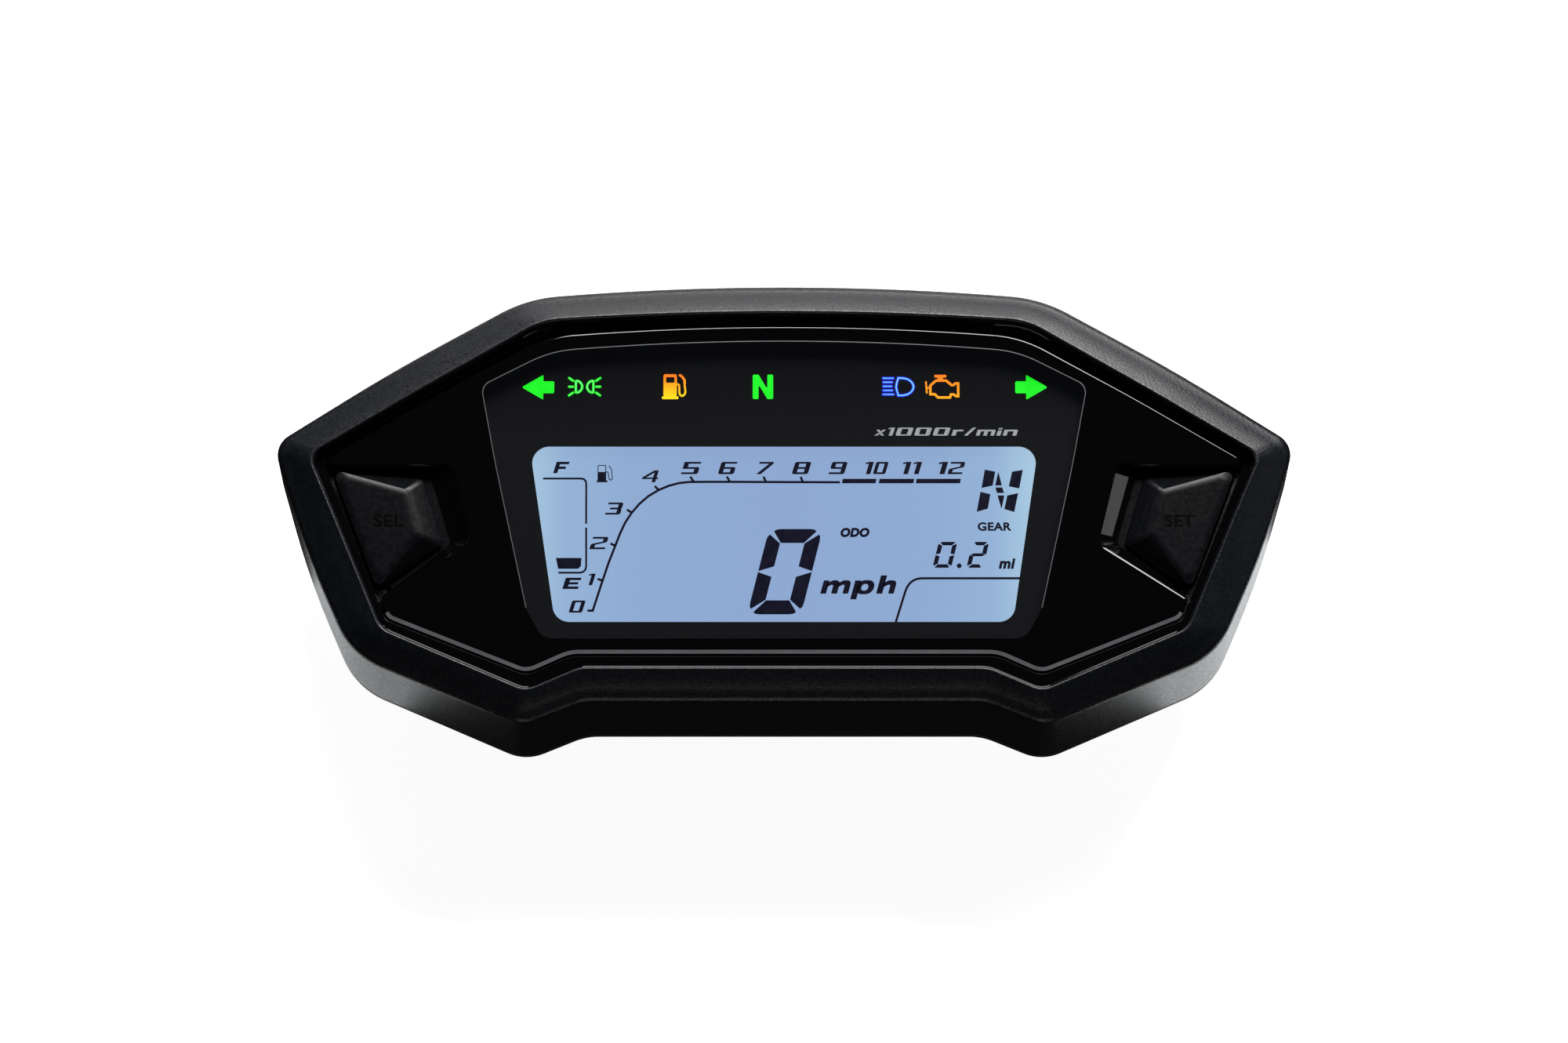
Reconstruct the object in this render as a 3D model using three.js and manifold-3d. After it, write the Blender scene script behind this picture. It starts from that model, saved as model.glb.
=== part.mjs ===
// Motorcycle instrument cluster: a flat cockpit display in a shallow housing.
// Millimetres. The display faces +Z, +X is the rider's right and +Y is up on the display.
// The unit lies on its three rear mounting bosses, whose faces are at z = 0.

import * as THREE from 'three';
import { mergeVertices } from 'three/addons/utils/BufferGeometryUtils.js';
import Module from 'manifold-3d';

const wasm = await Module();
wasm.setup();

// ---------------------------------------------------------------- driving dimensions

// Levels along Z.
const level = {
  bossFace: 0,
  backOuter: 5.5,
  backInner: 7.5,
  flangeRear: 15.2,
  parting: 17,
  boardRear: 20.4,
  boardFront: 22,
  trayTop: 30.2,
  guideTop: 33.1,
  rearGlassTop: 34.3,
  frontGlassTop: 35.4,
  plateRear: 36.2,
  plateFront: 37,
  lensRear: 37.6,
  lensFront: 40,
  turnEdge: 39,
  crest: 42,
};

// Outlines are the corners of the right half, from the top centre to the bottom centre:
// [x, y, fillet radius, steps in the fillet]. The left half is their mirror image.
const turnCorners = [
  [0, 39.86, 467, 8], [44.1, 36.27, 24, 3], [66.93, 23.36, 300, 1], [86.92, 10.38, 4, 4],
  [81.35, -7.8, 150, 1], [73.03, -26.16, 14, 4], [43.88, -38.38, 5, 3], [33.65, -34.33, 6, 2],
];
const crestCorners = [
  [0, 33.97, 560, 8], [41.35, 31.25, 14, 3], [61.88, 19.16, 300, 1], [80.52, 7.79, 2.9, 4],
  [75.8, -3.1, 300, 1], [67.75, -22.25, 4.5, 4], [43.24, -32.77, 3.2, 3], [34.24, -28.9, 5, 2],
];
const lensCorners = [
  [0, 32.34, 450, 8], [40.43, 29.37, 22, 3], [60, 18.4, 300, 1], [78.1, 7.54, 2.5, 4],
  [72.9, -5.15, 300, 1], [66.8, -20.03, 2.2, 4], [43.24, -29.43, 3.1, 3], [35.92, -26.14, 6, 2],
];
const windowCorners = [
  [0, 29.1, 700, 6], [42.6, 26.6, 6, 2], [51.6, 22.4, 2.4, 3], [48.9, 6.2, 200, 1],
  [43.4, -18.6, 3, 2], [40.6, -23.6, 3, 2],
];
const trayCorners = [
  [0, 30.4, 400, 6], [41, 27.2, 12, 2], [76, 5.4, 5, 4], [65, -17.5, 8, 3], [48, -25.5, 8, 2],
];
const skirtGrowth = { x: 1.0155, y: 1.048 };
const skirtRadii = [467, 24, 300, 4, 150, 14, 10, 12];
const wall = 2.2;
const lensSeat = 1.6;
const lensGap = 0.35;
const lensBevel = 0.55;
const crestWall = 0.8;

// Display stack: the top and bottom of the visible LCD area and its half widths there.
const lcdArea = { top: 10.55, bottom: -20.1, topHalf: 43.4, bottomHalf: 38.75 };
const indicatorRow = 20.9;
const indicatorNames = [
  'turn_left', 'position_lamp', 'fuel_low', 'neutral', 'high_beam', 'engine_check', 'turn_right',
];
const indicatorX = [-41.6, -33.8, -18.7, -3.6, 19.4, 26.8, 42];
const wellSize = { x: 6, y: 6 };
const lampPort = { x: 5.4, y: 4.6 };
const baffleSize = { x: 91, y: 7.2 };
const backlightX = [-30, -10, 10, 30];
const ledSize = { x: 3.2, y: 2.8, height: 1.1, cupRadius: 1, cupFloor: 0.7 };
const solderGap = 0.05;

// Buttons: [x, y] of the right one. The left one is its mirror image.
const buttonFace = [[76.2, 5.3], [64, 1.9], [62, -5.5], [68.5, -14.6]];
const buttonBase = [[76.6, 5.6], [61.2, 4.6], [57.6, -7], [68.6, -14.9]];
const buttonTab = [[72, 7], [58.4, 6.4], [54.6, -7.4], [66.6, -15.4]];
const notchFront = [[80, 6.4], [56.6, 6.4], [53.7, -6.6], [70.5, -18.2]];
const notchRear = [[80, 6.2], [60, 5.4], [56.3, -6.6], [70.5, -17]];
const buttonTravel = 1;
const buttonLevel = { foot: 33.6, tabRear: 35.9, tabFront: 37.2, base: 37.9, face: 39.9 };
const stemCentre = [66.5, -3];
const stemRadius = 2.4;
const touchGap = 0.3;
const switchBody = { size: 6, height: 3.5, cavity: 1.9 };
const plunger = { radius: 1.7, clearance: 0.1, rest: 3, top: 5.3 };

// Rear: mounting bosses, case screws and board posts as [x, y] centres.
const bossCentres = [[-42, 15], [42, 15], [0, -17.5]];
const boss = { radius: 6, insertRadius: 3, insertLength: 7, threadRadius: 1.65, fitGap: 0.05 };
const caseScrewCentres = [[-28, 33.2], [28, 33.2], [-80, 4.6], [80, 4.6], [-52, -30.3], [52, -30.3]];
const boardScrewCentres = [[-57, 7], [57, 7], [-50, -16], [50, -16]];
const screw = { shank: 1.4, head: 2.8, headHeight: 2, recess: 1.2, post: 3.1, fitGap: 0.1, bite: 7 };
const crossSlot = { length: 3.2, width: 0.7 };
const seatGap = 0.05;
const tray = { draft: 1.6, edge: 2.6, thickness: 2 };
const gasket = { outer: 1.2, inner: 2.2, height: 1.2 };

// Rear socket: a rectangular shroud with two rows of pins.
const socket = { x: 0, y: 7, width: 24, height: 12, wall: 1.5, mouth: 0.6, floor: 12.5, rear: 14 };
const socketKey = { x: 4, y: 1, inset: 1.9 };
const pins = { perRow: 6, pitch: 2.54, size: 0.64, tip: 6.8, rowGap: 3.6 };
const vent = { centre: [-24, -12], head: 4.4, stem: 2.9, rim: 1.1, edge: 1.2, dimple: 0.7 };

// Parts on the rear of the board: [name, finish, x, y, width, height, thickness].
const rearChips = [
  ['microcontroller', 'chip', -30, -4, 12, 12, 1.4],
  ['display_driver_chip', 'chip', 26, -6, 10, 7, 1.2],
  ['voltage_regulator', 'chip', -16, -16, 6.5, 9, 2.3],
  ['timing_crystal', 'aluminium', -41, 2, 3.2, 5, 1.1],
];
const capacitor = { centre: [28, 10], radius: 4, length: 9, base: 8.4, baseHeight: 1.2 };

const roundSteps = 16;

// ---------------------------------------------------------------- materials

function finish(color, roughness, metalness = 0) {
  return new THREE.MeshStandardMaterial({ color, roughness, metalness });
}

const finishes = {
  housing: () => finish(0x17181a, 0.45),
  surround: () => finish(0x050506, 0.06),
  clear: () => finish(0x9aa4ad, 0.05),
  plate: () => finish(0x1d1f22, 0.5),
  rubber: () => finish(0x24262b, 0.75),
  whitePlastic: () => finish(0xe6e8ea, 0.4),
  lcdGlass: () => finish(0x96b4dc, 0.1),
  guide: () => finish(0xdfe8f2, 0.2),
  board: () => finish(0x14512e, 0.45),
  chip: () => finish(0x18181a, 0.5),
  led: () => finish(0xf2eeda, 0.3),
  silicone: () => finish(0x8a3b32, 0.7),
  brass: () => finish(0xb9964a, 0.35, 1),
  steel: () => finish(0x8f9296, 0.3, 1),
  aluminium: () => finish(0xb4b7bb, 0.35, 1),
};

// ---------------------------------------------------------------- solids

function solidOf(geometry) {
  const bare = geometry.index ? geometry : geometry.clone();
  bare.deleteAttribute('normal');
  bare.deleteAttribute('uv');
  const merged = mergeVertices(bare, 1e-5);
  return new wasm.Manifold(new wasm.Mesh({
    numProp: 3,
    vertProperties: new Float32Array(merged.attributes.position.array),
    triVerts: new Uint32Array(merged.index.array),
  }));
}

const cluster = new THREE.Group();

function addPart(name, solid, material) {
  const mesh = solid.getMesh();
  const geometry = new THREE.BufferGeometry();
  geometry.setAttribute('position', new THREE.BufferAttribute(mesh.vertProperties, 3));
  geometry.setIndex(new THREE.BufferAttribute(mesh.triVerts, 1));
  geometry.computeVertexNormals();
  const part = new THREE.Mesh(geometry, material());
  part.name = name;
  cluster.add(part);
}

// A solid between rings of equal point counts, listed from low to high. A closed solid joins
// the last ring back to the first, and any other gets an end cap on its first and last ring.
function loft(rings, closed = false) {
  const count = rings[0].length;
  const positions = rings.flat(2);
  const index = [];
  const joins = closed ? rings.length : rings.length - 1;
  for (let r = 0; r < joins; r += 1) {
    const low = r * count;
    const high = ((r + 1) % rings.length) * count;
    for (let i = 0; i < count; i += 1) {
      const next = (i + 1) % count;
      index.push(low + i, low + next, high + next);
      index.push(low + i, high + next, high + i);
    }
  }
  if (!closed) {
    const flat = rings[0].map(([x, y]) => new THREE.Vector2(x, y));
    const last = (rings.length - 1) * count;
    const top = rings[rings.length - 1].map(([x, y]) => new THREE.Vector2(x, y));
    for (const [a, b, c] of THREE.ShapeUtils.triangulateShape(flat, [])) {
      index.push(a, c, b);
    }
    for (const [a, b, c] of THREE.ShapeUtils.triangulateShape(top, [])) {
      index.push(last + a, last + b, last + c);
    }
  }
  const geometry = new THREE.BufferGeometry();
  geometry.setAttribute('position', new THREE.Float32BufferAttribute(positions, 3));
  geometry.setIndex(index);
  return solidOf(geometry);
}

function prism(points, low, high) {
  const turned = THREE.ShapeUtils.isClockWise(points.map(([x, y]) => new THREE.Vector2(x, y)));
  const ordered = turned ? [...points].reverse() : points;
  return loft([atLevel(ordered, low), atLevel(ordered, high)]);
}

function taper(lowPoints, highPoints, low, high) {
  const turned = THREE.ShapeUtils.isClockWise(lowPoints.map(([x, y]) => new THREE.Vector2(x, y)));
  const order = (points) => (turned ? [...points].reverse() : points);
  return loft([atLevel(order(lowPoints), low), atLevel(order(highPoints), high)]);
}

function box(centreX, centreY, width, height, low, high) {
  const geometry = new THREE.BoxGeometry(width, height, high - low);
  geometry.translate(centreX, centreY, (low + high) / 2);
  return solidOf(geometry);
}

function rod([x, y], radius, low, high, steps = roundSteps) {
  const geometry = new THREE.CylinderGeometry(radius, radius, high - low, steps);
  geometry.rotateX(Math.PI / 2);
  geometry.translate(x, y, (low + high) / 2);
  return solidOf(geometry);
}

function join(solids) {
  return solids.reduce((whole, piece) => whole.add(piece));
}

function cut(solid, tools) {
  return tools.reduce((rest, tool) => rest.subtract(tool), solid);
}

// ---------------------------------------------------------------- outlines

function atLevel(points, z) {
  return points.map(([x, y]) => [x, y, z]);
}

function mirrored(points) {
  return points.map(([x, y, ...rest]) => [-x, y, ...rest]);
}

// Moves every edge of a clockwise corner loop inwards by a distance.
function insetLoop(loop, distance) {
  return loop.map((corner, i) => {
    const before = loop[(i + loop.length - 1) % loop.length];
    const after = loop[(i + 1) % loop.length];
    const into = new THREE.Vector2(corner[0] - before[0], corner[1] - before[1]).normalize();
    const out = new THREE.Vector2(after[0] - corner[0], after[1] - corner[1]).normalize();
    const turn = into.cross(out);
    const shift = distance / (1 + into.dot(out));
    const x = corner[0] + (into.y + out.y) * shift;
    const y = corner[1] - (into.x + out.x) * shift;
    const radius = Math.max(0.25, corner[2] + Math.sign(turn) * distance);
    return [x, y, radius, corner[3]];
  });
}

function fillet(before, corner, after) {
  const [x, y, radius, steps] = corner;
  const into = new THREE.Vector2(x - before[0], y - before[1]).normalize();
  const out = new THREE.Vector2(after[0] - x, after[1] - y).normalize();
  const turn = Math.atan2(into.cross(out), into.dot(out));
  const tangent = radius * Math.tan(Math.abs(turn) / 2);
  const side = Math.sign(turn);
  const startX = x - into.x * tangent;
  const startY = y - into.y * tangent;
  const centreX = startX - into.y * side * radius;
  const centreY = startY + into.x * side * radius;
  const first = Math.atan2(startY - centreY, startX - centreX);
  const points = [];
  for (let i = 0; i <= steps; i += 1) {
    const angle = first + (turn * i) / steps;
    points.push([centreX + radius * Math.cos(angle), centreY + radius * Math.sin(angle)]);
  }
  return points;
}

// The whole outline, counter-clockwise, moved inwards by inset.
function outline(corners, inset = 0) {
  const left = mirrored(corners.slice(1)).reverse();
  const loop = insetLoop([...corners, ...left], inset);
  const points = loop.flatMap((corner, i) => {
    const before = loop[(i + loop.length - 1) % loop.length];
    const after = loop[(i + 1) % loop.length];
    return fillet(before, corner, after);
  });
  return points.reverse();
}

function grown(corners, growth, radii) {
  return corners.map(([x, y, , steps], i) => [x * growth.x, y * growth.y, radii[i], steps]);
}

function frameOf(corners, outer, inner, low, high) {
  const hollow = prism(outline(corners, inner), low - 1, high + 1);
  return cut(prism(outline(corners, outer), low, high), [hollow]);
}

const skirtCorners = grown(turnCorners, skirtGrowth, skirtRadii);

function lcdTrapezoid(margin) {
  const lean = (lcdArea.topHalf - lcdArea.bottomHalf) / (lcdArea.top - lcdArea.bottom);
  const topHalf = lcdArea.topHalf + margin * (1 + lean);
  const bottomHalf = lcdArea.bottomHalf + margin * (1 - lean);
  const top = lcdArea.top + margin;
  const bottom = lcdArea.bottom - margin;
  return [[-bottomHalf, bottom], [bottomHalf, bottom], [topHalf, top], [-topHalf, top]];
}

// ---------------------------------------------------------------- housing

function frontCase() {
  const shell = loft([
    atLevel(outline(skirtCorners), level.parting),
    atLevel(outline(turnCorners), level.turnEdge - 1.1),
    atLevel(outline(turnCorners, 0.35), level.turnEdge - 0.2),
    atLevel(outline(turnCorners, 1.1), level.turnEdge + 0.35),
    atLevel(outline(crestCorners, -0.4), level.crest - 0.1),
    atLevel(outline(crestCorners, 0.05), level.crest),
    atLevel(outline(crestCorners, 0.4), level.crest - 0.2),
    atLevel(outline(crestCorners, crestWall), level.lensFront - 0.3),
    atLevel(outline(lensCorners, -lensGap), level.lensFront - 0.4),
    atLevel(outline(lensCorners, -lensGap), level.lensRear),
    atLevel(outline(lensCorners, lensSeat), level.lensRear),
    atLevel(outline(lensCorners, lensSeat), level.lensRear - 1.8),
    atLevel(outline(turnCorners, wall + 0.6), level.lensRear - 1.8),
    atLevel(outline(skirtCorners, wall), level.parting),
  ], true);
  const bossTop = level.lensRear - 2;
  const bosses = caseScrewCentres.map((centre) => rod(centre, screw.post, level.parting, bossTop));
  const channelTop = level.parting + gasket.height;
  const channel = frameOf(skirtCorners, gasket.outer, gasket.inner + 0.2, level.parting - 1, channelTop);
  const pilots = caseScrewCentres.map((centre) => (
    rod(centre, screw.shank + screw.fitGap, level.parting - 1, level.parting + screw.bite, 12)));
  return cut(join([shell, ...bosses]), [channel, ...pilots, ...buttonSides(buttonWay)]);
}

function caseGasket() {
  const low = level.parting + seatGap;
  const high = level.parting + gasket.height - 0.1;
  return frameOf(skirtCorners, gasket.outer + 0.1, gasket.inner - 0.1, low, high);
}

function rearCase() {
  const body = loft([
    atLevel(outline(trayCorners, tray.edge), level.backOuter),
    atLevel(outline(trayCorners, tray.draft), level.backOuter + 1),
    atLevel(outline(trayCorners), level.flangeRear + 1),
  ]);
  const flange = prism(outline(skirtCorners), level.flangeRear, level.parting);
  const hollow = loft([
    atLevel(outline(trayCorners, tray.draft + tray.thickness), level.backInner),
    atLevel(outline(trayCorners, tray.thickness), level.parting + 1),
  ]);
  const bossTop = level.backInner + 2;
  const bosses = bossCentres.map((centre) => rod(centre, boss.radius, level.bossFace, bossTop));
  const postFoot = level.backInner - 1;
  const posts = boardScrewCentres.map((centre) => rod(centre, screw.post, postFoot, level.boardRear));
  const insertBores = bossCentres.map((centre) => (
    rod(centre, boss.insertRadius + boss.fitGap, level.bossFace - 1, boss.insertLength + 0.5)));
  const clearanceHoles = caseScrewCentres.map((centre) => (
    rod(centre, screw.shank + screw.fitGap, level.flangeRear - 1, level.parting + 1, 12)));
  const pilots = boardScrewCentres.map((centre) => (
    rod(centre, screw.shank + screw.fitGap, level.boardRear - screw.bite, level.boardRear + 1, 12)));
  const socketHole = box(socket.x, socket.y, socket.width + 0.2, socket.height + 0.2, 0, level.parting);
  const ventHole = rod(vent.centre, vent.stem + screw.fitGap, 0, level.backInner + 1);
  const shell = cut(join([body, flange]), [hollow]);
  const holes = [...insertBores, ...clearanceHoles, ...pilots, socketHole, ventHole];
  return cut(join([shell, ...bosses, ...posts]), holes);
}

function screwSolid(centre, headFace, up) {
  const direction = up ? 1 : -1;
  const span = (from, to) => [Math.min(from, to), Math.max(from, to)];
  const top = headFace - direction * screw.headHeight;
  const [shankLow, shankHigh] = span(headFace, headFace + direction * (screw.bite + 1.2));
  const [headLow, headHigh] = span(headFace, top);
  const [recessLow, recessHigh] = span(top - direction, top + direction * screw.recess);
  const head = rod(centre, screw.head, headLow, headHigh, 14);
  const [x, y] = centre;
  const arms = [
    box(x, y, crossSlot.length, crossSlot.width, recessLow, recessHigh),
    box(x, y, crossSlot.width, crossSlot.length, recessLow, recessHigh),
  ];
  const shank = rod(centre, screw.shank, shankLow, shankHigh, 10);
  return cut(join([head, shank]), arms);
}

function threadedInsert(centre) {
  const body = rod(centre, boss.insertRadius, level.bossFace + 0.2, boss.insertLength);
  return cut(body, [rod(centre, boss.threadRadius, -1, boss.insertLength + 1, 16)]);
}

function connectorShroud() {
  const outer = box(socket.x, socket.y, socket.width, socket.height, socket.mouth, socket.rear);
  const innerWidth = socket.width - 2 * socket.wall;
  const innerHeight = socket.height - 2 * socket.wall;
  const hollow = box(socket.x, socket.y, innerWidth, innerHeight, socket.mouth - 1, socket.floor);
  const keyY = socket.y + socket.height / 2 - socketKey.inset;
  const key = box(socket.x, keyY, socketKey.x, socketKey.y, socket.mouth, socket.floor + 0.5);
  const holes = pinCentres().map(([x, y]) => (
    box(x, y, pins.size + 0.1, pins.size + 0.1, socket.floor - 1, socket.rear + 1)));
  return cut(join([cut(outer, [hollow]), key]), holes);
}

function pinCentres() {
  const centres = [];
  for (let row = 0; row < 2; row += 1) {
    for (let i = 0; i < pins.perRow; i += 1) {
      const x = socket.x + (i - (pins.perRow - 1) / 2) * pins.pitch;
      centres.push([x, socket.y + (row - 0.5) * pins.rowGap]);
    }
  }
  return centres;
}

function connectorPins() {
  const width = pins.perRow * pins.pitch + 1;
  const low = socket.rear + seatGap;
  const carrier = box(socket.x, socket.y, width, pins.rowGap + 3, low, level.boardRear - solderGap);
  const legs = pinCentres().map(([x, y]) => box(x, y, pins.size, pins.size, pins.tip, low + 1));
  return join([carrier, ...legs]);
}

function ventPlug() {
  const head = rod(vent.centre, vent.head, level.backOuter - vent.rim, level.backOuter);
  const stem = rod(vent.centre, vent.stem, level.backOuter, level.backInner + 1);
  const dimple = rod(vent.centre, vent.head - vent.edge, 0, level.backOuter - vent.dimple);
  return cut(join([head, stem]), [dimple]);
}

// ---------------------------------------------------------------- buttons

function unchanged(points) {
  return points;
}

// Runs a builder for the right side and for its mirror image.
function buttonSides(build) {
  return [build(unchanged), build(mirrored)];
}

function spread(points, distance) {
  const loop = insetLoop(points.map(([x, y]) => [x, y, 1, 1]), distance);
  return loop.map(([x, y]) => [x, y]);
}

function buttonNotch(place) {
  const share = 1 / (level.lensFront - level.lensRear);
  const beyond = (near, far) => near.map(([x, y], i) => (
    [x + (x - far[i][0]) * share, y + (y - far[i][1]) * share]));
  const above = beyond(notchFront, notchRear);
  const below = beyond(notchRear, notchFront);
  return taper(place(below), place(above), level.lensRear - 1, level.lensFront + 1);
}

function buttonWay(place) {
  const way = spread(buttonBase, 0.45);
  return prism(place(way), buttonLevel.foot - buttonTravel - 1, level.lensFront);
}

function button(place) {
  const foot = buttonLevel.foot;
  const body = prism(place(buttonBase), foot, buttonLevel.base);
  const cap = taper(place(buttonBase), place(buttonFace), buttonLevel.base, buttonLevel.face);
  const tab = prism(place(buttonTab), buttonLevel.tabRear, buttonLevel.tabFront);
  const hollow = prism(place(spread(buttonBase, -1.6)), foot - 1, buttonLevel.tabFront);
  const stemEnd = level.boardFront + plunger.top + touchGap;
  const stem = rod(place([stemCentre])[0], stemRadius, stemEnd, buttonLevel.tabFront + 0.5);
  return join([cut(join([body, cap, tab]), [hollow]), stem]);
}

function switchHousing(place) {
  const [x, y] = place([stemCentre])[0];
  const top = level.boardFront + switchBody.height;
  const body = box(x, y, switchBody.size, switchBody.size, level.boardFront, top);
  const cavity = rod([x, y], plunger.radius + plunger.clearance, top - switchBody.cavity, top + 1);
  return cut(body, [cavity]);
}

function switchPlunger(place) {
  const centre = place([stemCentre])[0];
  return rod(centre, plunger.radius, level.boardFront + plunger.rest, level.boardFront + plunger.top);
}

// ---------------------------------------------------------------- display stack

function lensSurround() {
  const plate = loft([
    atLevel(outline(lensCorners), level.lensRear),
    atLevel(outline(lensCorners), level.lensFront - lensBevel),
    atLevel(outline(lensCorners, lensBevel), level.lensFront),
  ]);
  const pane = prism(outline(windowCorners), level.lensRear - 1, level.lensFront + 1);
  return cut(plate, [pane, ...buttonSides(buttonNotch)]);
}

function lensWindow() {
  return loft([
    atLevel(outline(windowCorners, 0.06), level.lensRear),
    atLevel(outline(windowCorners, 0.06), level.lensFront - 0.25),
    atLevel(outline(windowCorners, 0.3), level.lensFront),
  ]);
}

function dialPlate() {
  const inside = prism(outline(lensCorners, lensSeat + 0.3), level.plateRear, level.plateFront);
  const low = level.plateRear - 1;
  const high = level.plateFront + 1;
  const plate = prism(outline(windowCorners, -0.8), low, high).intersect(inside);
  const lcdOpening = prism(lcdTrapezoid(0), low, high);
  const ports = indicatorX.map((x) => box(x, indicatorRow, lampPort.x, lampPort.y, low, high));
  return cut(plate, [lcdOpening, ...ports]);
}

function lcdFrame() {
  const body = prism(lcdTrapezoid(4), level.trayTop, level.plateRear - 0.1);
  const glassSeat = prism(lcdTrapezoid(2.3), level.trayTop - 1, level.frontGlassTop + 0.1);
  const view = prism(lcdTrapezoid(0.6), level.trayTop, level.plateRear + 1);
  return cut(body, [glassSeat, view]);
}

// One of the flat layers held by the display frame.
function displayLayer(low, high) {
  return prism(lcdTrapezoid(2.1), low, high);
}

function reflectorTray() {
  const outer = prism(lcdTrapezoid(2), level.boardFront + 0.1, level.trayTop - 0.1);
  return cut(outer, [prism(lcdTrapezoid(0.8), level.boardFront - 1, level.trayTop + 1)]);
}

function indicatorBaffle() {
  const low = level.boardFront + 0.1;
  const high = level.plateRear - 0.1;
  const block = box(0, indicatorRow, baffleSize.x, baffleSize.y, low, high);
  const wells = indicatorX.map((x) => box(x, indicatorRow, wellSize.x, wellSize.y, low - 1, high + 1));
  return cut(block, wells);
}

// ---------------------------------------------------------------- board

function mainBoard() {
  const board = prism(outline(lensCorners, 0.6), level.boardRear, level.boardFront);
  const holes = boardScrewCentres.map((centre) => (
    rod(centre, screw.shank + screw.fitGap, level.boardRear - 1, level.boardFront + 1, 12)));
  return cut(board, holes);
}

function rearChip(x, y, width, height, thickness) {
  return box(x, y, width, height, level.boardRear - thickness, level.boardRear - solderGap);
}

function smoothingCapacitor() {
  const [x, y] = capacitor.centre;
  const baseFoot = level.boardRear - capacitor.baseHeight;
  const can = rod([x, y], capacitor.radius, level.boardRear - capacitor.length, baseFoot);
  const base = box(x, y, capacitor.base, capacitor.base, baseFoot, level.boardRear - solderGap);
  return join([can, base]);
}

function ledPackage(x, y) {
  const low = level.boardFront + solderGap;
  const top = low + ledSize.height;
  const body = box(x, y, ledSize.x, ledSize.y, low, top);
  const cup = rod([x, y], ledSize.cupRadius, low + ledSize.cupFloor, top + 1, 12);
  return cut(body, [cup]);
}

// ---------------------------------------------------------------- assembly

addPart('front_case', frontCase(), finishes.housing);
addPart('rear_case', rearCase(), finishes.housing);
addPart('case_gasket', caseGasket(), finishes.silicone);
addPart('lens_surround', lensSurround(), finishes.surround);
addPart('lens_window', lensWindow(), finishes.clear);
addPart('dial_plate', dialPlate(), finishes.plate);
addPart('lcd_frame', lcdFrame(), finishes.whitePlastic);
addPart('lcd_front_glass', displayLayer(level.rearGlassTop + 0.02, level.frontGlassTop), finishes.lcdGlass);
addPart('lcd_rear_glass', displayLayer(level.guideTop + 0.1, level.rearGlassTop), finishes.lcdGlass);
addPart('light_guide', displayLayer(level.trayTop + 0.1, level.guideTop), finishes.guide);
addPart('reflector_tray', reflectorTray(), finishes.whitePlastic);
addPart('indicator_baffle', indicatorBaffle(), finishes.chip);
addPart('main_board', mainBoard(), finishes.board);
addPart('smoothing_capacitor', smoothingCapacitor(), finishes.aluminium);

for (const [name, kind, ...size] of rearChips) {
  addPart(name, rearChip(...size), finishes[kind]);
}

indicatorNames.forEach((name, i) => {
  addPart(`led_${name}`, ledPackage(indicatorX[i], indicatorRow), finishes.led);
});

backlightX.forEach((x, i) => {
  const y = (lcdArea.top + lcdArea.bottom) / 2;
  addPart(`backlight_led_${i + 1}`, ledPackage(x, y), finishes.led);
});

for (const [side, place] of [['sel', mirrored], ['set', unchanged]]) {
  addPart(`${side}_button`, button(place), finishes.rubber);
  addPart(`${side}_switch_body`, switchHousing(place), finishes.chip);
  addPart(`${side}_switch_plunger`, switchPlunger(place), finishes.whitePlastic);
}

addPart('connector_shroud', connectorShroud(), finishes.housing);
addPart('connector_pins', connectorPins(), finishes.brass);
addPart('vent_plug', ventPlug(), finishes.rubber);

bossCentres.forEach((centre, i) => {
  addPart(`threaded_insert_${i + 1}`, threadedInsert(centre), finishes.brass);
});

caseScrewCentres.forEach((centre, i) => {
  addPart(`case_screw_${i + 1}`, screwSolid(centre, level.flangeRear - seatGap, true), finishes.steel);
});

boardScrewCentres.forEach((centre, i) => {
  addPart(`board_screw_${i + 1}`, screwSolid(centre, level.boardFront + seatGap, false), finishes.steel);
});

export default cluster;
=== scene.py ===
import math

import bmesh
import bpy
from mathutils import Matrix, Vector

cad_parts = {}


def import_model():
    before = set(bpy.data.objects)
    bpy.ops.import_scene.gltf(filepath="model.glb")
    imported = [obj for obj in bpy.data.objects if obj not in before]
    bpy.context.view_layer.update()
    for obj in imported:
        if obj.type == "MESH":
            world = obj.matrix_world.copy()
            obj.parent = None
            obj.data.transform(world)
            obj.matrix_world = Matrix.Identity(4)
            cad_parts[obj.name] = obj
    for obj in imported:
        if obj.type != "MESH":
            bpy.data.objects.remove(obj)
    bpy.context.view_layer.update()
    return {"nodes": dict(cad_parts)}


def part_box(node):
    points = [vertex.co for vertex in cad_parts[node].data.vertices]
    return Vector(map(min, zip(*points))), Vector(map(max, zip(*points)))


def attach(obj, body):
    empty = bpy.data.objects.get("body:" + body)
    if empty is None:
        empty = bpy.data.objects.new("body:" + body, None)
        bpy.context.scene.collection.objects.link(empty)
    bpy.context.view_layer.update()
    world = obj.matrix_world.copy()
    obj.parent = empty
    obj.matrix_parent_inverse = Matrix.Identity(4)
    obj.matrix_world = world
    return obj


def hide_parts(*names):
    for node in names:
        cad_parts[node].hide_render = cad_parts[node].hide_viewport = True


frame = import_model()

# Lengths below are millimetres in the part's own frame: +Z out of the display, +X to the
# rider's right, +Y up on the display. Meshes are scaled to metres when they are made.
MM = 0.001


# ---------------------------------------------------------------- levels from the frame

def low(node):
    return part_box(node)[0] / MM


def high(node):
    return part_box(node)[1] / MM


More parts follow.
